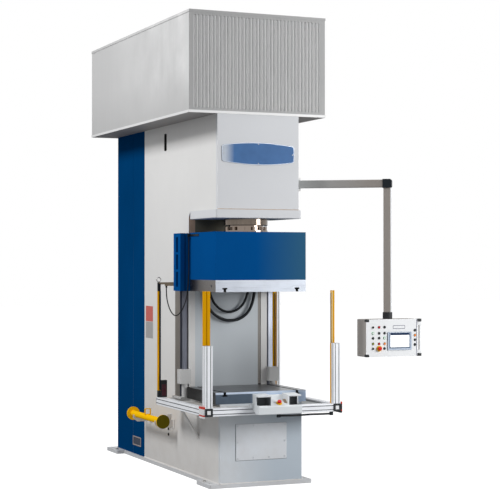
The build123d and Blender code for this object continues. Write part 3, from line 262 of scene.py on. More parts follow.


# Looks of the paints: clouds, orange peel, grime low down, and the drift to another colour along X or Z. That
# drift is a painted reflection on the ram and the throat's edge, painted shade at the throat's top, painted
# light on the arm near the head, and a darker right side on the bed's front
paintLook = {
    "cloudScale": 1.3, "cloudSpread": 0.02, "peelScale": 260, "peel": 0.10, "gloss": 0.25,
    "grime": 0.60, "grimeTop": 1.5, "grimeColor": (0.46, 0.42, 0.385),
}
cabinetLook = {**paintLook, "cloudSpread": 0.10, "cloudScale": 0.7, "grime": 0, "gloss": 0.0}
ramReflectionLook = {
    **paintLook, "cloudSpread": 0.05, "peel": 0.06, "grime": 0, "gloss": 0.0,
    # The ram's blue drifts to a paler grey-blue towards its right: a painted reflection
    "X": (-0.05, 0.50, (0.030, 0.105, 0.190)),
}
plainLook = {**paintLook, "grime": 0}
yellowLook = {**plainLook, "gloss": 0.0}
# The throat panel's paint darkens to brown towards its top, under the head: painted shade
throatShadeLook = {**plainLook, "Z": (2.15, 2.55, (0.20, 0.19, 0.145))}
bedLook = {**paintLook, "X": (-0.35, 0.15, (0.46, 0.52, 0.58))}
# The throat's edge on the left side plate turns brown towards its top: a painted reflection
edgeReflectionLook = {**plainLook, "Z": (2.30, 2.58, (0.72, 0.51, 0.365))}
# The arm's paint turns paler towards the head: painted light
armHighlightDriftLook = {**plainLook, "X": (1.15, 0.50, (0.46, 0.475, 0.475))}

# Looks of the metals: scale of the lines along each axis, and how far lines and clouds change the tone
ribLook = {
    "metallic": 0.1, "lineScale": (4, 4, 0.5), "cloudScale": 1, "lineSpread": 0.02, "cloudSpread": 0.05,
    "relief": 0.01,
}
grooveLook = {**ribLook, "relief": 0.03}
trayLook = {
    **grooveLook, "metallic": 0.2, "lineScale": (9, 9, 0.5), "cloudScale": 1.1, "lineSpread": 0.03,
    "cloudSpread": 0.06,
}
wallShadeLook = {
    "metallic": 0.25, "lineScale": (5, 5, 0.4), "cloudScale": 1.4, "lineSpread": 0.09, "cloudSpread": 0.26,
    # The enclosure's walls darken towards the rear and towards the bottom: painted shade
    "relief": 0.02, "Y": (0.1, 2.4, (0.50, 0.50, 0.50)), "Z": (4.25, 3.75, (0.44, 0.44, 0.44)),
}
machinedLook = {
    "lineScale": (3, 300, 90), "cloudScale": 3, "lineSpread": 0.07, "cloudSpread": 0.18, "relief": 0.06,
    # Darker sides of the ram plate: painted shade
    "sideColor": (0.20, 0.185, 0.175),
}
bedSteelLook = {
    **machinedLook, "lineScale": (3, 200, 90), "cloudScale": 5, "lineSpread": 0.12, "cloudSpread": 0.35,
    # Near-black sides of the bed plate: painted shade
    "sideColor": (0.05, 0.05, 0.05),
}
guideLook = {
    "lineScale": (120, 120, 3), "cloudScale": 4, "lineSpread": 0.1, "cloudSpread": 0.2, "relief": 0.05,
}
barrelLook = {
    "metallic": 0.9, "lineScale": (40, 40, 3), "cloudScale": 6, "lineSpread": 0.2, "cloudSpread": 0.3,
    "relief": 0.05,
}
chromeLook = {
    "lineScale": (4, 4, 300), "cloudScale": 5, "lineSpread": 0.04, "cloudSpread": 0.1, "relief": 0.02,
}
zincLook = {
    "lineScale": (60, 60, 60), "cloudScale": 40, "lineSpread": 0.08, "cloudSpread": 0.2, "relief": 0.05,
}
badgeLook = {
    "lineScale": (200, 200, 3), "cloudScale": 6, "lineSpread": 0.05, "cloudSpread": 0.15, "relief": 0.03,
}
profileLook = {"metallic": 0.15, "cloudScale": 5, "lineSpread": 0.03, "cloudSpread": 0.06, "relief": 0.04}

# Colour, roughness and look of each paint
frameColor = (0.69, 0.685, 0.675)
paints = {
    "framePaint": (frameColor, 0.42, paintLook),
    "bedPaint": ((0.64, 0.69, 0.74), 0.38, bedLook),
    "ramPaint": ((0.0015, 0.068, 0.245), 0.24, ramReflectionLook),
    "cabinetPaint": ((0.0005, 0.044, 0.148), 0.34, cabinetLook),
    "coverPaint": ((0.70, 0.74, 0.79), 0.38, paintLook),
    "yellowPaint": ((0.96, 0.54, 0.006), 0.3, yellowLook),
    # Darker copy of the yellow on the light curtains and the strip by the right post: painted shade on their
    # fronts
    "curtainYellow": ((0.66, 0.32, 0.004), 0.35, yellowLook),
    "armPaint": ((0.31, 0.28, 0.255), 0.5, armHighlightDriftLook),
    "armLight": ((0.60, 0.63, 0.67), 0.45, plainLook),
    "panelWhite": ((0.79, 0.80, 0.81), 0.42, plainLook),
    "throatPaint": ((0.54, 0.58, 0.61), 0.34, throatShadeLook),
    "consolePaint": ((0.68, 0.71, 0.73), 0.42, plainLook),
    "throatEdge": (frameColor, 0.42, edgeReflectionLook),
    "headPaint": ((0.62, 0.63, 0.65), 0.42, paintLook),
    "basePaint": ((0.64, 0.665, 0.70), 0.42, paintLook),
    "stopPaint": ((0.50, 0.50, 0.495), 0.42, plainLook),
    "propOlive": ((0.15, 0.12, 0.008), 0.4, yellowLook),
    "insideBrown": ((0.10, 0.092, 0.082), 0.6, plainLook),
    "insideDark": ((0.018, 0.018, 0.018), 0.6, plainLook),
    "entryRim": ((0.38, 0.32, 0.30), 0.5, plainLook),
    "entryInside": ((0.45, 0.46, 0.56), 0.6, plainLook),
    "seamPale": ((0.16, 0.24, 0.35), 0.5, plainLook),
    "creamStrip": ((0.62, 0.44, 0.20), 0.5, plainLook),
    "enclosureFlanks": ((0.74, 0.74, 0.74), 0.5, plainLook),
    "trayUnder": ((0.26, 0.25, 0.25), 0.5, plainLook),
}

# Colour, roughness and look of each metal
profileColor = (0.92, 0.94, 0.98)
metals = {
    "enclosureSide": ((0.66, 0.66, 0.66), 0.5, wallShadeLook),
    "enclosureRibs": ((0.31, 0.31, 0.31), 0.5, ribLook),
    "enclosureGrooves": ((0.42, 0.42, 0.42), 0.5, grooveLook),
    "trayEdge": ((0.68, 0.68, 0.68), 0.5, trayLook),
    "machined": ((0.57, 0.61, 0.68), 0.3, machinedLook),
    "bedSteel": ((0.14, 0.145, 0.155), 0.3, bedSteelLook),
    "guideBody": ((0.26, 0.235, 0.21), 0.40, guideLook),
    "guideSteel": ((0.16, 0.17, 0.21), 0.34, {**guideLook, "metallic": 0.6}),
    "guideBright": ((0.78, 0.83, 0.95), 0.30, {**guideLook, "metallic": 0.5, "lineSpread": 0.05}),
    "chrome": ((0.27, 0.22, 0.185), 0.10, chromeLook),
    "darkSteel": ((0.20, 0.165, 0.135), 0.12, barrelLook),
    "zinc": ((0.55, 0.54, 0.52), 0.35, zincLook),
    "badgeSilver": ((0.42, 0.46, 0.52), 0.34, badgeLook),
    "profileLong": (profileColor, 0.32, {**profileLook, "lineScale": (1.5, 260, 260)}),
    "profileUpright": (profileColor, 0.32, {**profileLook, "lineScale": (260, 260, 1.5)}),
}

# Colour and roughness of each plastic, then its grain, the grain's scale and its dust
plastics = {
    "slotShade": ((0.15, 0.165, 0.185), 0.6, 0.1),
    "blackPlastic": ((0.018, 0.02, 0.022), 0.42),
    "redPlastic": ((0.62, 0.012, 0.012), 0.3, 0.04),
    "paleButton": ((0.72, 0.74, 0.72), 0.3, 0.04),
    "stopYellow": ((0.80, 0.46, 0.01), 0.35, 0.04),
    "lampRed": ((0.50, 0.010, 0.016), 0.2, 0.03),
    "lampOlive": ((0.22, 0.22, 0.03), 0.2, 0.03),
    "lampOrange": ((0.90, 0.28, 0.06), 0.2, 0.03),
    "ringGreen": ((0.10, 0.55, 0.22), 0.3, 0.03),
    "displayBlue": ((0.020, 0.040, 0.090), 0.12, 0.01),
    "screenDark": ((0.080, 0.125, 0.200), 0.35, 0.06),
    "screenPale": ((0.50, 0.57, 0.68), 0.4, 0.06),
    "jointGray": ((0.25, 0.275, 0.30), 0.6, 0.10),
    "throatSeal": ((0.30, 0.28, 0.26), 0.6, 0.10),
    "lidMaroon": ((0.075, 0.018, 0.028), 0.35, 0.05),
    "rimGray": ((0.20, 0.20, 0.26), 0.35, 0.04),
    "labelRed": ((0.52, 0.10, 0.08), 0.45, 0.04),
    "labelGray": ((0.34, 0.33, 0.33), 0.45, 0.04),
    "curtainWindow": ((0.012, 0.010, 0.012), 0.10, 0.02),
    "markerRed": ((0.50, 0.030, 0.012), 0.45, 0.04),
    "markerPale": ((0.66, 0.67, 0.68), 0.45, 0.04),
    "pocketDark": ((0.20, 0.215, 0.225), 0.5, 0.10),
    "deepBlack": ((0.006, 0.010, 0.014), 0.5, 0.10, 900, 0.0),
    "sealant": ((0.42, 0.33, 0.26), 0.6, 0.10),
    "brownPlate": ((0.30, 0.22, 0.15), 0.4, 0.05),
    "entryBrush": ((0.040, 0.050, 0.075), 0.6, 0.10),
    "stayTan": ((0.46, 0.36, 0.25), 0.5, 0.05),
    "hoseRubber": ((0.008, 0.010, 0.013), 0.36, 0.25, 500, 0.01),
    "cableSheath": ((0.007, 0.008, 0.010), 0.5, 0.15, 900, 0.0),
}

# Colour and glow of what the panel's screen shows
glows = {
    "displayWhite": ((0.88, 0.89, 0.90), 0.60),
    "displayTile": ((0.82, 0.85, 0.88), 0.50),
}

# Left colour of each face, and the drift to another colour along X or Z: painted glare on the badge, painted
# shade on the sill, painted reflection on the bed's edge
fades = {
    # The badge's field is pale at its left end and blue beyond: the silver end of the badge together with
    # painted glare
    "badgeBlue": ((0.50, 0.55, 0.62), {"X": (-0.37, -0.27, (0.055, 0.150, 0.350))}),
    # The sill sheet darkens almost to black towards the right, between the bed and the guard: painted shade
    "sillSheet": ((0.58, 0.56, 0.53), {"X": (0.25, 0.42, (0.10, 0.12, 0.13))}),
    # The bed plate's front edge: dark slate at the left turning pale blue at the right, with a pale line
    # along its top: painted reflection and painted highlight
    "bedEdge": ((0.085, 0.115, 0.155), {
        "X": (-0.12, 0.06, (0.48, 0.60, 0.78)), "Z": (0.936, 0.944, (0.60, 0.70, 0.84)),
    }),
}

materials = {}
for makeMaterial, finishes in (
    (paintMaterial, paints), (metalMaterial, metals), (plasticMaterial, plastics),
    (glowMaterial, glows), (fadeMaterial, fades),
):
    for name, finish in finishes.items():
        materials[name] = makeMaterial(name, *finish)
print("materials:", len(materials))

# Shapes for the small pieces, all in metres
forward = (0, -1, 0)


def facing(place, direction):
    matrix = Vector(direction).to_track_quat("Z", "Y").to_matrix().to_4x4()
    matrix.translation = place
    return matrix


def joinRings(shape, rings, closed=False):
    pairs = list(zip(rings, rings[1:]))
    if closed:
        pairs.append((rings[-1], rings[0]))
    for lower, upper in pairs:
        for step in range(max(len(lower), len(upper))):
            corners = list(dict.fromkeys([
                lower[step % len(lower)], lower[(step + 1) % len(lower)],
                upper[(step + 1) % len(upper)], upper[step % len(upper)],
            ]))
            if len(corners) > 2:
                shape.faces.new(corners)


def addBlock(shape, low, high, bevel, segments=2):
    made = bmesh.ops.create_cube(shape, size=1)["verts"]
    for vert in made:
        vert.co = Vector(low[axis] + (vert.co[axis] + 0.5) * (high[axis] - low[axis]) for axis in range(3))
    if bevel:
        edges = list({edge for vert in made for edge in vert.link_edges})
        bmesh.ops.bevel(shape, geom=edges, offset=bevel, segments=segments, profile=0.5, affect="EDGES")


# A turned shape: pairs of radius and height from the bottom to the top
def addTurned(shape, place, direction, profile, steps, closed=False):
    matrix = facing(place, direction)
    rings = []
    for radius, height in profile:
        count = steps if radius else 1
        angles = [2 * math.pi * step / count for step in range(count)]
        points = [(radius * math.cos(angle), radius * math.sin(angle), height) for angle in angles]
        rings.append([shape.verts.new(matrix @ Vector(point)) for point in points])
    joinRings(shape, rings, closed)


def roundedOutline(width, height, radius, steps=6, crown=0.0):
    points = []
    straight = width / 2 - radius
    for corner, (sideX, sideY) in enumerate(((1, 1), (-1, 1), (-1, -1), (1, -1))):
        for step in range(steps + 1):
            angle = math.pi / 2 * (corner + step / steps)
            points.append((
                sideX * straight + radius * math.cos(angle),
                sideY * (height / 2 - radius) + radius * math.sin(angle),
            ))
        if crown and corner in (0, 2):
            for step in range(1, 24):
                share = 1 - step / 12
                points.append((sideX * straight * share, sideY * (height / 2 + crown * (1 - share * share))))
    return points


# A flat plate with round corners and a softened front edge, and long edges that a crown arches.
# The form of a plate in the settings below is its thickness, its corners' radius and that front edge
def addPlate(shape, place, direction, width, height, thickness, radius, edge, crown=0.0):
    matrix = facing(place, direction)
    rings = []
    for inset, depth in ((0, 0), (0, thickness - edge), (edge, thickness)):
        points = roundedOutline(width - 2 * inset, height - 2 * inset, radius - inset, crown=crown)
        rings.append([shape.verts.new(matrix @ Vector((x, y, depth))) for x, y in points])
    joinRings(shape, rings)
    shape.faces.new(list(reversed(rings[0])))
    shape.faces.new(rings[-1])


# A round bar bent into a ring
def addRing(shape, place, direction, ringRadius, barRadius, steps=40, barSteps=12):
    profile = []
    for step in range(barSteps):
        angle = 2 * math.pi * step / barSteps
        profile.append((ringRadius + barRadius * math.cos(angle), barRadius * math.sin(angle)))
    addTurned(shape, place, direction, profile, steps, closed=True)


# Socket head screw that stands on a face
def addScrew(shape, place, direction, radius, height):
    socket = radius * 0.5
    addTurned(shape, place, direction, [
        (0, 0), (radius, 0), (radius, height * 0.85), (radius * 0.88, height),
        (socket, height), (socket, height * 0.4), (0, height * 0.4),
    ], 18)


# A weld bead: a quarter-round strip with a faint ripple, painted over
def addBead(shape, start, end, outward, radius, step):
    start, end, outward = Vector(start), Vector(end), Vector(outward)
    count = max(2, round((end - start).length / step))
    rings = []
    for index in range(count + 1):
        middle = start.lerp(end, index / count)
        size = radius * (1 + 0.10 * math.sin(index * 2.1))
        rings.append([
            shape.verts.new(middle), shape.verts.new(middle + outward * size),
            shape.verts.new(middle + outward * size * 0.62 + Vector((0, 0, size * 0.62))),
            shape.verts.new(middle + Vector((0, 0, size))),
        ])
    joinRings(shape, rings)
    shape.faces.new(list(reversed(rings[0])))
    shape.faces.new(rings[-1])


def finishPiece(shape, name, materialName, body):
    bmesh.ops.recalc_face_normals(shape, faces=shape.faces)
    mesh = bpy.data.meshes.new(name)
    shape.to_mesh(mesh)
    shape.free()
    for polygon in mesh.polygons:
        polygon.use_smooth = True
    mesh.set_sharp_from_angle(angle=math.radians(35))
    mesh.materials.append(materials[materialName])
    piece = bpy.data.objects.new(name, mesh)
    scene.collection.objects.link(piece)
    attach(piece, body)
    return piece


def blockPiece(name, materialName, body, blocks, bevel=0.0, segments=1):
    shape = bmesh.new()
    for low, high in blocks:
        addBlock(shape, low, high, bevel, segments)
    finishPiece(shape, name, materialName, body)


# Blocks that lie flat on a face that looks forward, from X and Z of two corners each
def flatBlocks(spans, front, back):
    return [((x0, front, z0), (x1, back, z1)) for (x0, z0), (x1, z1) in spans]


def platePiece(name, materialName, body, *plate):
    shape = bmesh.new()
    addPlate(shape, *plate)
    finishPiece(shape, name, materialName, body)


# Hoses and cables: one smooth spline each, with its control points counted from its origin
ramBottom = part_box("ram_plate")[0][2]
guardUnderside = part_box("guard_front_rail")[0][2]
hoseY = 0.440
hoseBlend = ((0.22, hoseY, ramBottom), (-0.22, hoseY, ramBottom))
cordSettings = {
    "hoseOuter": {
        "node": "hose_outer", "material": "hoseRubber", "diameter": 0.032, "length": 1.730,
        "stiffness": "stiff", "sleeve": 0.0205, "nut": 0.0250, "blend": hoseBlend,
        "origin": (0, hoseY, ramBottom),
        "points": [
            (0.300, 0, 0.430), (0.300, 0, 0.195), (0.294, 0.003, -0.035), (0.237, 0.001, -0.222),
            (0.108, -0.002, -0.318), (-0.062, 0, -0.323), (-0.212, 0.002, -0.237), (-0.294, 0.001, -0.072),
            (-0.305, 0, 0.130), (-0.305, 0, 0.330),
        ],
    },
    "hoseInner": {
        "node": "hose_inner", "material": "hoseRubber", "diameter": 0.027, "length": 1.459,
        "stiffness": "stiff", "sleeve": 0.0175, "nut": 0.0215, "blend": hoseBlend,
        "origin": (0, hoseY, ramBottom),
        "points": [
            (0.232, 0, 0.430), (0.232, 0, 0.215), (0.225, 0.002, 0.020), (0.172, 0, -0.138),
            (0.066, -0.002, -0.226), (-0.058, 0, -0.232), (-0.170, 0.001, -0.158), (-0.236, 0.001, -0.020),
            (-0.245, 0, 0.155), (-0.245, 0, 0.330),
        ],
    },
    "sensorCable": {
        "node": "sensor_cable", "material": "cableSheath", "diameter": 0.012, "length": 1.298,
        "stiffness": "medium", "blend": ((-0.635, 0.60, ramBottom), (-0.56, 0.33, ramBottom)),
        "origin": (0, 0, ramBottom),
        "points": [
            (-0.642, 0.651, 0.030), (-0.642, 0.651, -0.040), (-0.639, 0.629, -0.118),
            (-0.632, 0.571, -0.205), (-0.621, 0.476, -0.264), (-0.603, 0.385, -0.254),
            (-0.574, 0.325, -0.180), (-0.548, 0.301, -0.085), (-0.532, 0.296, 0.020),
            (-0.524, 0.299, 0.125), (-0.519, 0.297, 0.230), (-0.521, 0.300, 0.340), (-0.520, 0.300, 0.450),
            (-0.520, 0.300, 0.560),
        ],
    },
    "consoleCable": {
        "node": "console_cable", "material": "cableSheath", "diameter": 0.020, "length": 0.631,
        "stiffness": "medium", "origin": (0, 0, guardUnderside),
        "points": [
            (0.020, -0.815, -0.008), (0.060, -0.815, -0.008), (0.115, -0.798, -0.012),
            (0.180, -0.762, -0.016), (0.250, -0.726, -0.020), (0.325, -0.704, -0.022),
            (0.425, -0.699, -0.020), (0.525, -0.701, -0.022), (0.580, -0.700, -0.022),
            (0.628, -0.700, -0.022),
        ],
    },
}


def splineMesh(name, points, radius):
    curve = bpy.data.curves.new(name, "CURVE")
    curve.dimensions = "3D"
    curve.resolution_u = 14
    curve.bevel_depth = radius
    curve.bevel_resolution = 5
    curve.use_fill_caps = radius > 0
    spline = curve.splines.new("NURBS")
    spline.points.add(len(points) - 1)
    for controlPoint, place in zip(spline.points, points):
        controlPoint.co = (*place, 1)
    spline.order_u = 3
    spline.use_endpoint_u = True
    carrier = bpy.data.objects.new(name + "Line", curve)
    mesh = bpy.data.meshes.new_from_object(carrier)
    bpy.data.objects.remove(carrier)
    bpy.data.curves.remove(curve)
    return mesh


# Crimped sleeve and nut at the end of a hose
def addFitting(name, settings, end, direction, body):
    shape = bmesh.new()
    hose = settings["diameter"] / 2
    sleeve, nut = settings["sleeve"], settings["nut"]
    crimp = sleeve - 0.0015
    addTurned(shape, end, direction, [
        (0, 0.0005), (hose + 0.0015, 0.0005), (hose + 0.0015, 0.026), (sleeve, 0.028), (sleeve, 0.040),
        (crimp, 0.042), (crimp, 0.046), (sleeve, 0.048), (sleeve, 0.060), (crimp, 0.062), (crimp, 0.066),
        (sleeve, 0.068), (sleeve, 0.080), (hose + 0.0006, 0.086), (0, 0.086),
    ], 36)
    addTurned(shape, end, direction, [
        (0, 0.0004), (nut * 0.94, 0.0004), (nut, 0.003), (nut, 0.022), (nut * 0.94, 0.025), (0, 0.025),
    ], 6)
    return finishPiece(shape, name, "zinc", body)


def makeCord(name, settings):
    points = [tuple(map(sum, zip(settings["origin"], point))) for point in settings["points"]]
    lineMesh = splineMesh(name + "Route", points, 0)
    bpy.data.meshes.remove(lineMesh)
    mesh = splineMesh(name, points, settings["diameter"] / 2)
    mesh.name = name
    for polygon in mesh.polygons:
        polygon.use_smooth = True
    mesh.set_sharp_from_angle(angle=math.radians(50))
    mesh.materials.clear()
    mesh.materials.append(materials[settings["material"]])
    cord = bpy.data.objects.new(name, mesh)
    scene.collection.objects.link(cord)
    if "blend" in settings:
        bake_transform(cord)
    else:
        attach(cord, "frame")
    if "sleeve" in settings:
        addFitting(name + "FrameEnd", settings, points[0], (0, 0, -1), "frame")
        addFitting(name + "RamEnd", settings, points[-1], (0, 0, -1), "ram")
    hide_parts(settings["node"])


for cordName, settings in cordSettings.items():
    makeCord(cordName, settings)
print("cords:", len(cordSettings))

# Material of each CAD node
nodeMaterials = {
    "framePaint": [
        "side_plate_left", "side_plate_right", "frame_top_plate", "guard_brackets", "prop_holders",
        "arm_bracket",
    ],
    "headPaint": ["head_front_plate", "head_bottom_plate"],
    "basePaint": ["base_plate"],
    "stopPaint": ["guide_stops"],
    "throatPaint": ["throat_panel"],
    "bedPaint": ["bed_front_plate"],
    "coverPaint": ["access_cover"],
    "machined": ["ram_plate"],
    "bedSteel": ["bed_plate"],
    "guideSteel": ["guide_rail_left", "guide_rail_right"],
    "darkSteel": ["cylinder_barrel", "cylinder_gland", "valve_block"],
    "chrome": ["piston_rod"],
    "ramPaint": ["ram_box", "guide_shoes", "drive_motor"],
    "cabinetPaint": ["rear_cabinet", "oil_tank"],
    "enclosureSide": ["enclosure_walls", "enclosure_roof"],
    "sillSheet": ["sill_sheet"],
    "trayEdge": ["enclosure_tray"],
    "enclosureRibs": ["enclosure_front"],
    "zinc": ["levelling_screws", "curtain_stay"],
    "profileLong": ["guard_front_rail", "guard_side_rails"],
    "profileUpright": ["guard_posts"],
    "yellowPaint": ["safety_prop"],
    "curtainYellow": ["light_curtains"],
    "armPaint": ["swing_arm", "panel_housing"],
    "panelWhite": ["panel_front", "panel_handle"],
    "consolePaint": ["console_housing"],
    "redPlastic": ["console_stop_button", "panel_stop_button"],
    "screenDark": ["panel_screen"],
    "paleButton": ["start_button", "return_button"],
    "blackPlastic": ["guard_trim", "interlock_boxes", "panel_selector", "panel_key_switch"],
    "deepBlack": ["arm_elbow", "palm_button_left", "palm_button_right", "cable_glands"],
}


def dress(obj, material):
    obj.data.materials.clear()
    obj.data.materials.append(material)


for materialName, nodeNames in nodeMaterials.items():
    for nodeName in nodeNames:
        dress(nodes[nodeName], materials[materialName])
print("nodes dressed")

# Small radii on the edges of the plates, in millimetres, which catch the light
edgeRadii = {
    "base_plate": 3, "side_plate_left": 3, "side_plate_right": 3, "head_front_plate": 3,
    "bed_front_plate": 3, "bed_plate": 2, "ram_plate": 2, "ram_box": 3, "guide_shoes": 2,
    "guide_stops": 2, "rear_cabinet": 2, "access_cover": 1.5, "enclosure_tray": 1.5,
    "enclosure_roof": 1.5, "panel_front": 1.5, "panel_screen": 2,
}


def roundEdges(obj, radius):
    bevel = obj.modifiers.new("edges", "BEVEL")
    bevel.width = radius / 1000
    bevel.segments = 2
    bevel.limit_method = "ANGLE"
    bevel.angle_limit = math.radians(50)
    bevel.harden_normals = False
    obj.modifiers.new("shading", "WEIGHTED_NORMAL")


for nodeName, radius in edgeRadii.items():
    roundEdges(nodes[nodeName], radius)
print("edges rounded")


# Other materials on some faces of a CAD node
def paintFaces(nodeName, choose):
    mesh = nodes[nodeName].data
    slots = {}
    for polygon in mesh.polygons:
        name = choose(polygon.center, polygon.normal)
        if name is None:
            continue
        if name not in slots:
            slots[name] = len(mesh.materials)
            mesh.materials.append(materials[name])
        polygon.material_index = slots[name]


def paintWhere(nodeName, materialName, test):
    paintFaces(nodeName, lambda center, normal: materialName if test(center, normal) else None)


def within(value, span):
    return span[0] < value < span[1]


# A face looks along an axis where that part of its normal is over the first, and not where under the second
squareOn, edgeOn = 0.9, 0.5

# Where these faces lie: the slot high in the left side plate, the throat's edge, the ribs' ends
hullSettings = {
    "skin": 0.002, "slotDepth": (1.1, 1.3), "slotLevel": (3.40, 3.72), "throatDepth": (0, 1.0),
    "ribMargin": 0.010, "flankSlope": 0.3,
}


# Frame and enclosure: painted shade inside the frame, and painted light on the floors and flanks of the
# grooves between the ribs, which are paler than the rib tops to even out the shade in the grooves
def colorHull(settings):
    skin = settings["skin"]
    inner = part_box("side_plate_right")[0][0] + skin / 2
    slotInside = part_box("side_plate_left")[0][0] + skin
    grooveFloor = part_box("enclosure_front")[0][1] + skin
    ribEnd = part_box("enclosure_front")[1][0] - settings["ribMargin"]
    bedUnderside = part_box("bed_plate")[0][2]

    def insideLeft(center, normal):
        # The left side plate's face along the throat takes the frame paint with a painted brown reflection
        # near its top
        if normal.y < -squareOn and within(center.y, settings["throatDepth"]) and center.z > bedUnderside:
            return "throatEdge"
        # The slot high in the plate and the plate's inner faces are painted near black: painted shade
        atSlot = within(center.y, settings["slotDepth"]) and within(center.z, settings["slotLevel"])
        return "insideDark" if atSlot and center.x > slotInside or normal.x > squareOn else None

    def groove(center, normal):
        if abs(normal.x) > settings["flankSlope"] and abs(center.x) < ribEnd:
            return "enclosureFlanks"
        return "enclosureGrooves" if center.y > grooveFloor and normal.y < -squareOn else None

    paintWhere("enclosure_roof", "enclosureRibs", lambda center, normal: normal.y < -squareOn)
    # The tray's underside is painted darker: painted shade
    paintWhere("enclosure_tray", "trayUnder", lambda center, normal: normal.z < -squareOn)
    # The right side plate's inner faces are painted dark brown: painted shade
    paintWhere("side_plate_right", "insideBrown", lambda center, normal: center.x < inner)
    paintFaces("side_plate_left", insideLeft)
    paintFaces("enclosure_front", groove)


# Cable entry in the cabinet's left side, with a brush plate in it
cabinetSettings = {
    "entryDepth": (2.0, 2.3), "entryLevel": (0.13, 0.26), "rim": 0.001, "seam": (0.001, 0.0025),
    "brushInset": 0.0065, "brushDepth": (2.029, 2.287), "brushLevel": (0.151, 0.234),
    "brushThickness": 0.002,
}


# Rear cabinet: bare rim of the cable entry, its inside painted pale as painted light, and a pale joint
# between its two sheets
def colorCabinet(settings):
    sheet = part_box("side_plate_left")[0][0]
    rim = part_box("rear_cabinet")[0][0] + settings["rim"]
    seam = [sheet + reach for reach in settings["seam"]]

    def choose(center, normal):
        atEntry = within(center.y, settings["entryDepth"]) and within(center.z, settings["entryLevel"])
        if atEntry and (center.x < rim or abs(normal.x) < edgeOn and center.x < sheet):
            return "entryRim"
        if center.x > seam[1] and normal.x < -squareOn:
            return None
        if atEntry and abs(normal.x) < edgeOn or normal.x > squareOn and center.x < 0:
            return "entryInside"
        return "seamPale" if within(center.x, seam) else None

    paintFaces("rear_cabinet", choose)


def addEntryBrush(settings):
    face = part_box("rear_cabinet")[0][0] + settings["brushInset"]
    y0, y1 = settings["brushDepth"]
    z0, z1 = settings["brushLevel"]
    brush = ((face, y0, z0), (face + settings["brushThickness"], y1, z1))
    blockPiece("entryBrush", "entryBrush", "frame", [brush])


# How far each of these parts reaches from the outer side of its node
pressSettings = {
    "bedEdge": 0.002, "propEnd": 0.001, "guideHead": 0.045, "stayClamp": 0.034, "curtainFoot": 0.058,
    "strap": 0.031, "strapLevel": (2.540, 2.566), "litFacet": (0.5, -0.3, 0.1),
}


# Press parts: edge of the bed, guides, prop, stay and the strap of the ram's cable
def colorPress(settings):
    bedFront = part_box("bed_plate")[0][1] + settings["bedEdge"]
    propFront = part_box("safety_prop")[0][1] + settings["propEnd"]
    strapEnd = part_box("ram_box")[0][0] + settings["strap"]
    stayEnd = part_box("curtain_stay")[0][0] + settings["stayClamp"]
    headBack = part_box("guide_rail_left")[0][1] + settings["guideHead"]
    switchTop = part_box("guard_side_rails")[0][2]
    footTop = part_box("guard_posts")[0][2] + settings["curtainFoot"]
    litX, litY, litZ = settings["litFacet"]

    def onLitFacet(center, normal):
        return normal.x > litX and normal.y < litY and abs(normal.z) < litZ

    def onFoot(center, normal):
        return center.y > 0 and center.z < footTop

    def onStrap(center, normal):
        return center.x < strapEnd and within(center.z, settings["strapLevel"])

    def stay(center, normal):
        if center.x < stayEnd:
            return "deepBlack"
        return "stayTan" if normal.z > squareOn or normal.y < -squareOn else "deepBlack"

    # The bed plate's front edge takes the painted reflection
    paintWhere("bed_plate", "bedEdge", lambda center, normal: center.y < bedFront)
    # The prop's front end takes a dark olive copy of its yellow: painted shade
    paintWhere("safety_prop", "propOlive", lambda center, normal: center.y < propFront)
    paintWhere("guide_rail_left", "guideBody", lambda center, normal: center.y > headBack)
    paintWhere("guide_rail_right", "guideBright", lambda center, normal: normal.y < -squareOn)
    paintWhere("interlock_boxes", "framePaint", lambda center, normal: center.z < switchTop)
    paintWhere("ram_box", "deepBlack", onStrap)
    # The arm tube's facets that face right and forward take a paler paint: a painted highlight
    paintWhere("swing_arm", "armLight", onLitFacet)
    paintWhere("light_curtains", "deepBlack", onFoot)
    paintFaces("curtain_stay", stay)


# Seals between the plates of the frame
sealSettings = {"beadRadius": 0.008, "beadStep": 0.040, "throatDepth": (0.485, 0.530), "throatRadius": 0.004}


# Bead of sealant along the joint between the head's front plate and the plate under it
def addHeadSeal(settings):
    low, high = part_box("head_front_plate")
    shape = bmesh.new()
    addBead(shape, low, (high[0], low[1], low[2]), forward, settings["beadRadius"], settings["beadStep"])
    finishPiece(shape, "headSeal", "sealant", "frame")


# Rubber seal between the throat panel and the right side plate
def addThroatSeal(settings):
    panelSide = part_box("throat_panel")[1][0]
    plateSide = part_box("side_plate_right")[0][0]
    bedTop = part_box("bed_plate")[1][2]
    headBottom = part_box("head_bottom_plate")[0][2]
    front, back = settings["throatDepth"]
    seal = ((panelSide, front, bedTop), (plateSide, back, headBottom))
    blockPiece("throatSeal", "throatSeal", "frame", [seal], settings["throatRadius"], 2)


# Lid of the terminal box by the rear curtain, and two sockets low on the left side plate
boxSettings = {
    "lidMiddle": (-0.674, 0.915), "lidSize": (0.050, 0.120), "lidForm": (0.003, 0.008, 0.001),
    "socketDepth": 1.094, "socketLevels": (0.4485, 0.385), "socketRadius": 0.017,
}


def addBoxLid(settings):
    x, z = settings["lidMiddle"]
    place = (x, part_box("interlock_boxes")[0][1], z)
    platePiece(
        "boxLid", "lidMaroon", "frame", place, forward, *settings["lidSize"], *settings["lidForm"],
    )


def addSideSockets(settings):
    shape = bmesh.new()
    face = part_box("side_plate_left")[0][0]
    radius = settings["socketRadius"]
    for z in settings["socketLevels"]:
        addTurned(shape, (face, settings["socketDepth"], z), (-1, 0, 0), [
            (0, 0), (radius, 0), (radius, 0.006), (radius * 0.85, 0.008), (radius * 0.5, 0.008),
            (radius * 0.5, 0.003), (0, 0.003),
        ], 24)
    finishPiece(shape, "sideSockets", "blackPlastic", "frame")


colorHull(hullSettings)
colorCabinet(cabinetSettings)
colorPress(pressSettings)
addHeadSeal(sealSettings)
addThroatSeal(sealSettings)
addEntryBrush(cabinetSettings)
addSideSockets(boxSettings)
addBoxLid(boxSettings)
print("hull and press colored")

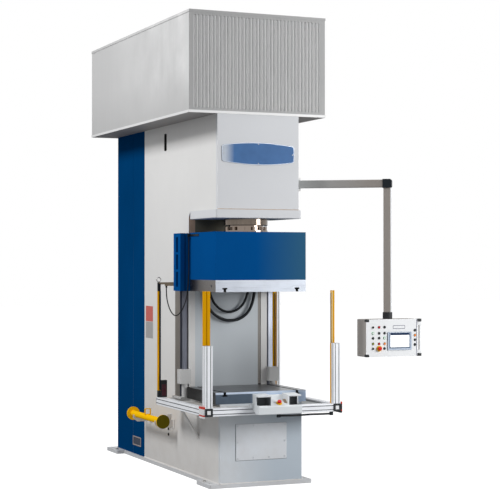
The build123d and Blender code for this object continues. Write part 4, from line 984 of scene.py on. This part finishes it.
# Operator panel: what each fixed button, lamp and ring is made of, row by row
panelLow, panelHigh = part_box("panel_front")
panelSettings = {
    "middle": ((panelLow[0] + panelHigh[0]) / 2, (panelLow[2] + panelHigh[2]) / 2),
    "face": panelHigh[1] - 0.006,
    "columns": (-0.222, -0.152, -0.088),
    "rows": (0.111, 0.050, 0.0, -0.058, -0.107),
    "sideColumn": 0.268,
    "sideRows": (0.074, 0.023, -0.024, -0.074),
    "reach": 0.0155,
    "stopReach": 0.030,
    "ringInside": 0.0112,
    "caps": (
        ("zinc", "lampRed", "blackPlastic"),
        ("ringGreen", "blackPlastic", "blackPlastic"),
        ("blackPlastic", "blackPlastic", "ringGreen"),
        ("lampOlive", "lampRed", "lampOrange"),
        ("zinc", "stopYellow", "blackPlastic"),
    ),
    "sideCaps": ("blackPlastic", "lampOrange", "blackPlastic", "blackPlastic"),
    "cornerSize": 0.034,
    "cornerDepths": (0.040, 0.038),
    "displaySize": (0.222, 0.150),
    "glassForm": (0.0012, 0.003, 0.0006),
    "headerForm": (0.0002, 0.001, 0.0001),
    "headerInset": 0.001,
    "tileForm": (0.0002, 0.003, 0.0001),
    "displayLift": 0.0115,
    "headerShare": 0.17,
    "tileColumns": (-1.5, -0.5, 0.5, 1.5),
    "tileRows": (0.5, -0.5),
    "tilePitch": (0.235, 0.36),
    "tileSize": (0.20, 0.27),
    "tileDrop": 0.10,
    "surround": (0.016, 0.006),
    "plateOffset": (0.080, 0.110),
    "plateSize": (0.142, 0.038),
    "plateRim": 0.006,
    "rimForm": (0.0008, 0.009, 0.0002),
    "fieldForm": (0.0004, 0.004, 0.0001),
    "edgeStrip": (0.016, 0.008),
}


def panelControls(settings):
    controls = []
    for row, z in enumerate(settings["rows"]):
        for column, x in enumerate(settings["columns"]):
            controls.append((x, z, settings["caps"][row][column]))
    for z, cap in zip(settings["sideRows"], settings["sideCaps"]):
        controls.append((settings["sideColumn"], z, cap))
    middleX, middleZ = settings["middle"]
    return [(middleX + x, middleZ + z, cap) for x, z, cap in controls]


def colorPanel(settings):
    controls = panelControls(settings)

    def choose(center, normal):
        if center.y > settings["face"] - 0.0003:
            return None
        for x, z, cap in controls:
            reach = settings["stopReach"] if cap == "stopYellow" else settings["reach"]
            if math.hypot(center.x - x, center.z - z) < reach:
                return cap
        return None

    paintFaces("panel_front", choose)


def addBezels(settings):
    shape = bmesh.new()
    inside = settings["ringInside"]
    for x, z, cap in panelControls(settings):
        if cap in ("zinc", "stopYellow", "ringGreen"):
            continue
        addTurned(shape, (x, settings["face"], z), forward, [
            (inside, 0.0002), (inside + 0.0034, 0.0002), (inside + 0.0034, 0.002),
            (inside + 0.0024, 0.003), (inside, 0.003),
        ], 28, closed=True)
    finishPiece(shape, "panelBezels", "blackPlastic", "panel")


# Lit glass in the screen's front, with a dark header and two rows of tiles
def addDisplay(settings):
    screenLow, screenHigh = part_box("panel_screen")
    x = (screenLow[0] + screenHigh[0]) / 2
    z = (screenLow[2] + screenHigh[2]) / 2 + settings["displayLift"]
    face = screenLow[1]
    glassFace = face - settings["glassForm"][0]
    width, height = settings["displaySize"]
    place = (x, face, z)
    platePiece("displayGlass", "displayWhite", "panel", place, forward, width, height, *settings["glassForm"])
    band = height * settings["headerShare"]
    inset = settings["headerInset"]
    place = (x, glassFace, z + height / 2 - band / 2 - inset)
    platePiece(
        "displayHeader", "displayBlue", "panel", place, forward, width - 2 * inset, band,
        *settings["headerForm"],
    )
    tiles = bmesh.new()
    pitchX, pitchZ = settings["tilePitch"]
    tileWidth, tileHeight = width * settings["tileSize"][0], height * settings["tileSize"][1]
    for column in settings["tileColumns"]:
        for row in settings["tileRows"]:
            tileX = x + column * width * pitchX
            tileZ = z - height * settings["tileDrop"] + row * height * pitchZ
            place = (tileX, glassFace, tileZ)
            addPlate(tiles, place, forward, tileWidth, tileHeight, *settings["tileForm"])
    finishPiece(tiles, "displayTiles", "displayTile", "panel")


# Pale edge round the screen, narrower at its top
def addSurround(settings):
    screenLow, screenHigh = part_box("panel_screen")
    face = screenLow[1]
    thick, thin = settings["surround"]
    margin = 0.001
    x0, x1 = screenLow[0] + margin, screenHigh[0] - margin
    z0, z1 = screenLow[2] + margin, screenHigh[2] - margin
    blockPiece("screenSurround", "screenPale", "panel", flatBlocks((
        ((x0, z0), (x0 + thick, z1)), ((x1 - thick, z0), (x1, z1)),
        ((x0 + thick, z0), (x1 - thick, z0 + thick)), ((x0 + thick, z1 - thin), (x1 - thick, z1)),
    ), face - settings["glassForm"][0], face), 0.0003)


# Plain plate with a thin outline
def addNameplate(settings):
    middleX, middleZ = settings["middle"]
    offsetX, offsetZ = settings["plateOffset"]
    width, height = settings["plateSize"]
    edge = 2 * settings["plateRim"]
    x, z = middleX + offsetX, middleZ + offsetZ
    face = settings["face"]
    raised = face - settings["rimForm"][0]
    platePiece(
        "panelPlateRim", "rimGray", "panel", (x, face, z), forward, width, height, *settings["rimForm"],
    )
    platePiece(
        "panelPlateField", "panelWhite", "panel", (x, raised, z), forward, width - edge, height - edge,
        *settings["fieldForm"],
    )


# Black caps over the corners of the panel's frame
def addPanelCorners(settings):
    low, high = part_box("panel_front")
    gripLow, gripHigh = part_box("panel_handle")
    width, height = settings["cornerSize"], settings["cornerSize"] * 0.8
    grow = 0.001
    face = settings["face"] - 2 * grow
    leftBack, rightBack = [settings["face"] + depth for depth in settings["cornerDepths"]]
    caps = [
        ((low[0] - grow, face, z0), (low[0] + width, leftBack, z1))
        for z0, z1 in ((low[2] - grow, low[2] + height), (high[2] - height, high[2] + grow))
    ] + [
        ((high[0] - 0.004, face, z0), (gripHigh[0], rightBack, z1))
        for z0, z1 in ((low[2] - grow, gripLow[2]), (gripHigh[2], high[2] + grow))
    ]
    blockPiece("panelCorners", "blackPlastic", "panel", caps, 0.003, 3)


# Dark groove down the right edge of the front
def addEdgeStrip(settings):
    low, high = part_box("panel_front")
    inset, width = settings["edgeStrip"]
    start, face, margin = high[0] - inset, settings["face"], 0.004
    strip = ((start, face - 0.0006, low[2] + margin), (start + width, face, high[2] - margin))
    blockPiece("panelEdgeStrip", "rimGray", "panel", [strip], 0.0002)


def colorCoupling():
    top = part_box("panel_front")[1][2] + 0.0005
    paintWhere("panel_housing", "blackPlastic", lambda center, normal: center.z > top)


def dressPanel(settings):
    colorPanel(settings)
    addBezels(settings)
    addDisplay(settings)
    addSurround(settings)
    addNameplate(settings)
    addPanelCorners(settings)
    addEdgeStrip(settings)
    colorCoupling()


dressPanel(panelSettings)
print("panel dressed")

# Badge on the head and two labels on the left side plate
plateSettings = {
    "badge": {
        "x": (-0.407, 0.400), "z": (3.289, 3.465), "crown": 0.027, "radius": 0.030, "rim": 0.007,
        "thickness": (0.007, 0.001), "edges": (0.002, 0.0004), "screws": (0.022, 0.020, 0.010),
        "screwSize": (0.005, 0.003),
    },
    "labelForm": (0.0012, 0.006, 0.0003),
    "labels": {
        "labelRed": {"y": (1.613, 1.853), "z": (1.600, 1.774)},
        "labelGray": {"y": (1.613, 1.853), "z": (1.410, 1.596)},
    },
}


def addBadge(settings):
    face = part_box("head_front_plate")[0][1]
    x0, x1 = settings["x"]
    z0, z1 = settings["z"]
    rim, radius, crown = settings["rim"], settings["radius"], settings["crown"]
    thickness, fieldThickness = settings["thickness"]
    edge, fieldEdge = settings["edges"]
    x, z = (x0 + x1) / 2, (z0 + z1) / 2
    width, height = x1 - x0, z1 - z0
    place, raised = (x, face, z), (x, face - thickness, z)
    platePiece(
        "badgePlate", "badgeSilver", "frame", place, forward, width, height, thickness, radius, edge, crown,
    )
    platePiece(
        "badgeField", "badgeBlue", "frame", raised, forward, width - 2 * rim, height - 2 * rim,
        fieldThickness, radius - rim, fieldEdge, crown,
    )
    screws = bmesh.new()
    screwFace = face - thickness - fieldThickness
    left, right, reach = settings["screws"]
    for screwX, screwZ in ((x0 + left, z), (x1 - right, z), (x, z1 + reach), (x, z0 - reach)):
        addScrew(screws, (screwX, screwFace, screwZ), forward, *settings["screwSize"])
    finishPiece(screws, "badgeScrews", "zinc", "frame")


def addLabels(settings, form):
    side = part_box("side_plate_left")[0][0]
    for name, place in settings.items():
        y0, y1 = place["y"]
        z0, z1 = place["z"]
        middle = (side, (y0 + y1) / 2, (z0 + z1) / 2)
        platePiece(name, name, "frame", middle, (-1, 0, 0), y1 - y0, z1 - z0, *form)


addBadge(plateSettings["badge"])
addLabels(plateSettings["labels"], plateSettings["labelForm"])
print("badge and labels placed")

# Light curtains: windows in their grooves, end caps, status lamp and the ring over the left rear one
curtainSettings = {
    "grooveWidth": 0.0176, "capHeight": 0.016, "capGrow": 0.0006,
    "windowEnd": 0.030, "windowDepth": 0.0016, "windowInset": 0.002,
    "frontTop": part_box("light_curtains")[1][2],
    "frontLow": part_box("guard_posts")[0][2],
    "rearTop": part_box("curtain_stay")[0][2],
    "footHeight": 0.057, "stripWidth": 0.016, "stripLift": 0.060,
    "strips": {
        "curtainStrip": ("rightInner", True, "creamStrip"), "curtainEdge": ("leftRear", False, "deepBlack"),
    },
    "ringPlace": (-0.733, 0.640, 2.087), "ringRadius": 0.0235, "barRadius": 0.0045,
    "shankRadius": 0.005, "collarRadius": 0.009,
}
curtainPlaces = {
    "leftOuter": {"x": (-0.724, -0.694), "y": (-0.640, -0.604), "window": "back"},
    "leftInner": {"x": (-0.689, -0.653), "y": (-0.640, -0.610), "window": "right"},
    "rightInner": {"x": (0.676, 0.712), "y": (-0.640, -0.610), "window": "left"},
    "leftRear": {"x": (-0.740, -0.710), "y": (0.633, 0.669), "window": "front", "shift": 0.0055},
    "rightRear": {"x": (0.602, 0.632), "y": (0.633, 0.669), "window": "front"},
}


def addCurtainParts(settings, places):
    windows = bmesh.new()
    caps = bmesh.new()
    lamps = bmesh.new()
    half = settings["grooveWidth"] / 2
    depth, inset = settings["windowDepth"], settings["windowInset"]
    grow = settings["capGrow"]
    for name, place in places.items():
        rear = name.endswith("Rear")
        top = settings["rearTop"] if rear else settings["frontTop"]
        low = settings["frontLow"] + (settings["footHeight"] if rear else 0)
        x0, x1 = place["x"]
        y0, y1 = place["y"]
        middleX = (x0 + x1) / 2 + place.get("shift", 0)
        middleY = (y0 + y1) / 2
        z0, z1 = low + settings["windowEnd"], top - settings["windowEnd"]
        acrossX = (middleX - half, middleX + half)
        acrossY = (middleY - half, middleY + half)
        spanX, spanY = {
            "front": (acrossX, (y0 + inset - depth, y0 + inset)),
            "back": (acrossX, (y1 - inset, y1 - inset + depth)),
            "right": ((x1 - inset, x1 - inset + depth), acrossY),
            "left": ((x0 + inset - depth, x0 + inset), acrossY),
        }[place["window"]]
        addBlock(windows, (spanX[0], spanY[0], z0), (spanX[1], spanY[1], z1), 0.0004, 1)
        capTop = low + settings["capHeight"]
        addBlock(caps, (x0 - grow, y0 - grow, low), (x1 + grow, y1 + grow, capTop), 0.0015)
        addTurned(lamps, (middleX, y0, z1), forward, [(0, 0), (0.003, 0), (0.0025, 0.001), (0, 0.0013)], 12)
    for stripName, (name, from0, materialName) in settings["strips"].items():
        x0, x1 = places[name]["x"]
        y0 = places[name]["y"][0]
        start = x0 if from0 else x1 - settings["stripWidth"]
        top = settings["rearTop"] if name.endswith("Rear") else settings["frontTop"]
        foot = settings["frontLow"] + settings["capHeight"] + settings["stripLift"]
        strip = ((start, y0 - grow, foot), (start + settings["stripWidth"], y0, top))
        blockPiece(stripName, materialName, "frame", [strip], 0.0003)
    finishPiece(windows, "curtainWindows", "curtainWindow", "frame")
    finishPiece(caps, "curtainCaps", "blackPlastic", "frame")
    finishPiece(lamps, "curtainLamps", "ringGreen", "frame")


# Ring on top of the stay, with its shank and collar
def addStayRing(settings):
    shape = bmesh.new()
    addRing(shape, settings["ringPlace"], forward, settings["ringRadius"], settings["barRadius"])
    x, y, z = settings["ringPlace"]
    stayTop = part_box("curtain_stay")[1][2]
    length = z - settings["ringRadius"] - stayTop
    shank, collar = settings["shankRadius"], settings["collarRadius"]
    addTurned(shape, (x, y, stayTop), (0, 0, 1), [
        (0, 0), (collar, 0), (collar, 0.003), (shank, 0.004), (shank, length), (0, length),
    ], 20)
    finishPiece(shape, "stayRing", "zinc", "frame")


addCurtainParts(curtainSettings, curtainPlaces)
addStayRing(curtainSettings)
print("light curtains dressed")

# Guard: red and pale bands round the corner markers, and light squares in the end caps
guardSettings = {
    "grow": 0.0006, "markerLength": 0.120, "markerThickness": 0.018,
    "redBands": ((0.000, 0.022), (0.079, 0.094)), "paleBands": ((0.022, 0.079), (0.094, 0.112)),
    "capMiddle": 0.040, "capSquare": 0.046, "capForm": (0.003, 0.012, 0.0008),
    "profileWidth": 0.080, "slotDepth": 0.0016, "rearPost": ((0.643, 0.683), (0.633, 0.673)),
    "stripWidth": 0.030, "stripTop": 1.448,
}


def addMarkerBands(name, bands, sides, settings):
    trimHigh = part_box("guard_trim")[1]
    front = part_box("guard_front_rail")[0][1]
    grow = settings["grow"]
    outer = trimHigh[0] + grow
    inner = trimHigh[0] - settings["markerThickness"] + 0.0002
    back = front + settings["markerLength"] + grow
    blocks = []
    for side in sides:
        x0, x1 = sorted((side * outer, side * inner))
        for top, bottom in bands:
            z0, z1 = trimHigh[2] - bottom + grow, trimHigh[2] - top + grow
            blocks.append(((x0, front - grow, z0), (x1, back, z1)))
    blockPiece(name, name, "frame", blocks, 0.0003)


def addCapSquares(settings):
    railLow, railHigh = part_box("guard_side_rails")
    size = settings["capSquare"]
    face = railLow[1] - settings["capForm"][0]
    z = (railLow[2] + railHigh[2]) / 2
    shape = bmesh.new()
    for side in (-1, 1):
        x = side * (railHigh[0] - settings["capMiddle"])
        addPlate(shape, (x, face, z), forward, size, size, *settings["capForm"])
    finishPiece(shape, "capSquares", "panelWhite", "frame")


# Edge of the right curtain's bracket along the inner side of its post
def addPostStrip(settings):
    low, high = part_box("guard_posts")
    face = high[0] - settings["profileWidth"]
    back = low[1] + settings["profileWidth"]
    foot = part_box("guard_front_rail")[1][2]
    strip = ((face - 0.001, back - settings["stripWidth"], foot), (face, back, settings["stripTop"]))
    blockPiece("postStrip", "curtainYellow", "frame", [strip], 0.0003)


# Shade inside the slots of the profiles
def shadeSlots(settings):
    width = settings["profileWidth"]
    railLow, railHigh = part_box("guard_side_rails")
    front = (railLow[1], railLow[1] + width)
    level = (railLow[2], railHigh[2])
    sides = ((railLow[0], railLow[0] + width), (railHigh[0] - width, railHigh[0]))
    rearX, rearY = settings["rearPost"]
    rears = ((-rearX[1], -rearX[0]), rearX)

    def inside(first, second, spans):
        for (a0, a1), (b0, b1) in spans:
            if a0 < first < a1 and b0 < second < b1:
                return min(first - a0, a1 - first, second - b0, b1 - second) > settings["slotDepth"]
        return False

    def shade(nodeName, first, second, spans):
        paintWhere(nodeName, "slotShade", lambda center, normal: inside(center[first], center[second], spans))

    shade("guard_front_rail", 1, 2, [(front, level)])
    shade("guard_side_rails", 0, 2, [(side, level) for side in sides])
    shade("guard_posts", 0, 1, [(side, front) for side in sides] + [(side, rearY) for side in rears])


shadeSlots(guardSettings)
addMarkerBands("markerRed", guardSettings["redBands"], (-1, 1), guardSettings)
addMarkerBands("markerPale", guardSettings["paleBands"], (-1,), guardSettings)
addCapSquares(guardSettings)
addPostStrip(guardSettings)
print("guard trimmed")

# Two-hand console: yellow ring under the stop button, and painted shade in the pockets
consoleSettings = {
    "stopPlace": (-0.004, -0.846, 0.8766), "stopAxis": (0, -0.528223, 0.849106),
    "baseRadius": 0.0300, "aboveSlope": 0.0015,
    "pockets": ((-0.225, -0.103), (0.095, 0.217)), "pocketDepth": (-0.872, -0.740),
    "pocketLevel": (0.808, 0.944),
    "platePlace": (0.0757, -0.8173, 0.8944), "plateSize": (0.040, 0.060),
    "plateForm": (0.004, 0.004, 0.001),
}


def colorConsole(settings):
    place = Vector(settings["stopPlace"])
    axis = Vector(settings["stopAxis"]).normalized()

    def choose(center, normal):
        offset = center - place
        along = offset.dot(axis)
        if along > settings["aboveSlope"] and (offset - axis * along).length < settings["baseRadius"]:
            return "stopYellow"
        inDepth = within(center.y, settings["pocketDepth"]) and within(center.z, settings["pocketLevel"])
        if inDepth and any(within(center.x, pocket) for pocket in settings["pockets"]):
            return "pocketDark"
        return None

    paintFaces("console_housing", choose)


# Bare metal plate on the slope beside the stop button
def addSlopePlate(settings):
    place, axis = settings["platePlace"], settings["stopAxis"]
    platePiece(
        "consolePlate", "brownPlate", "frame", place, axis, *settings["plateSize"], *settings["plateForm"],
    )


colorConsole(consoleSettings)
addSlopePlate(consoleSettings)
print("console colored")

# Screws of the access cover, the joint round it, and welds along the foot of the frame
fixingSettings = {
    "coverInset": 0.022, "coverColumns": 4, "coverRows": 3, "coverScrew": (0.0075, 0.005),
    "coverJointShadow": (0.006, 0.002), "jointHeight": 0.001, "weldRadius": 0.009, "weldStep": 0.030,
}


def addCoverScrews(settings):
    low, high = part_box("access_cover")
    inset = settings["coverInset"]
    radius, height = settings["coverScrew"]
    columns, rows = settings["coverColumns"], settings["coverRows"]
    shape = bmesh.new()
    for column in range(columns):
        for row in range(rows):
            if 0 < column < columns - 1 and 0 < row < rows - 1:
                continue
            x = low[0] + inset + (high[0] - low[0] - 2 * inset) * column / (columns - 1)
            z = low[2] + inset + (high[2] - low[2] - 2 * inset) * row / (rows - 1)
            addScrew(shape, (x, low[1], z), forward, radius, height)
    finishPiece(shape, "coverScrews", "coverPaint", "frame")


# Dark joint round the cover, widest at its left side and foot, where the extra width is a painted shadow of
# the cover
def addCoverJoint(settings):
    low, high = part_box("access_cover")
    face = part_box("bed_front_plate")[0][1]
    wide, narrow = settings["coverJointShadow"]
    x0, x1, z0, z1 = low[0], high[0], low[2], high[2]
    blockPiece("coverJointShadow", "jointGray", "frame", flatBlocks((
        ((x0 - wide, z0 - wide), (x0, z1)), ((x0, z0 - wide), (x1, z0)),
        ((x1, z0 - wide), (x1 + narrow, z1)), ((x0 - wide, z1), (x1 + narrow, z1 + narrow)),
    ), face - settings["jointHeight"], face), 0.0002)


def addWelds(settings):
    low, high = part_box("side_plate_left")
    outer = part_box("side_plate_right")[1][0]
    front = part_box("bed_front_plate")[0][1]
    foot = low[2]
    radius, step = settings["weldRadius"], settings["weldStep"]
    shape = bmesh.new()
    addBead(shape, (low[0], front, foot), (low[0], high[1], foot), (-1, 0, 0), radius, step)
    addBead(shape, (outer, front, foot), (outer, high[1], foot), (1, 0, 0), radius, step)
    addBead(shape, (low[0], front, foot), (outer, front, foot), forward, radius, step)
    finishPiece(shape, "footWelds", "framePaint", "frame")


addCoverScrews(fixingSettings)
addCoverJoint(fixingSettings)
addWelds(fixingSettings)
print("screws and welds added")

# Floor, world and lamps
studioSettings = {
    "floorColor": (0.42, 0.42, 0.42),
    "floorGlow": 0.90,
    "floorHalf": 60,
    "worldColor": (0.95, 0.97, 1.0),
    "worldStrength": 0.36,
    "frontLamp": {"place": (8.7, -8.3, 5.0), "aim": (0, 0, 1.9), "size": 5.0, "watts": 1220},
    "leftLamp": {"place": (-8.6, 0.0, 9.6), "aim": (0, 0.8, 2.4), "size": 3.0, "watts": 900},
}


def addWorld(settings):
    world = bpy.data.worlds.new("studio")
    world.use_nodes = True
    scene.world = world
    tree = world.node_tree
    tree.nodes.clear()
    light = addNode(tree, "Background", {
        "Color": settings["worldColor"], "Strength": settings["worldStrength"],
    })
    white = addNode(tree, "Background", {"Color": (1, 1, 1), "Strength": 1})
    path = addNode(tree, "LightPath", {})
    seen = mathNode(tree, "MAXIMUM", path.outputs["Is Camera Ray"], path.outputs["Is Glossy Ray"])
    seen = mathNode(tree, "MAXIMUM", seen, path.outputs["Is Transmission Ray"])
    mix = addNode(tree, "MixShader", {0: seen, 1: light.outputs[0], 2: white.outputs[0]})
    addNode(tree, "OutputWorld", {"Surface": mix.outputs[0]})


def addFloor(settings):
    half = settings["floorHalf"]
    corners = [(-half, -half, 0), (half, -half, 0), (half, half, 0), (-half, half, 0)]
    mesh = bpy.data.meshes.new("floor")
    mesh.from_pydata(corners, [], [(0, 1, 2, 3)])
    floor = bpy.data.objects.new("floor", mesh)
    scene.collection.objects.link(floor)
    material, tree, shader = startMaterial("floorMaterial", settings["floorColor"], 0.9, 0.0, 0.0)
    path = addNode(tree, "LightPath", {})
    strength = rangeNode(tree, path.outputs["Is Camera Ray"], 0, 1, 0, settings["floorGlow"])
    glow = addNode(tree, "Emission", {"Strength": strength})
    both = addNode(tree, "AddShader", {0: shader.outputs[0], 1: glow.outputs[0]})
    fillInputs(tree, tree.nodes["Material Output"], {"Surface": both.outputs[0]})
    mesh.materials.append(material)


def addLamp(name, settings):
    data = bpy.data.lights.new(name, "AREA")
    data.shape = "SQUARE"
    data.size = settings["size"]
    data.energy = settings["watts"]
    lamp = bpy.data.objects.new(name, data)
    lamp.location = settings["place"]
    direction = Vector(settings["aim"]) - Vector(settings["place"])
    lamp.rotation_euler = direction.to_track_quat("-Z", "Y").to_euler()
    scene.collection.objects.link(lamp)


addWorld(studioSettings)
addFloor(studioSettings)
addLamp("frontLamp", studioSettings["frontLamp"])
addLamp("leftLamp", studioSettings["leftLamp"])
print("studio lit")
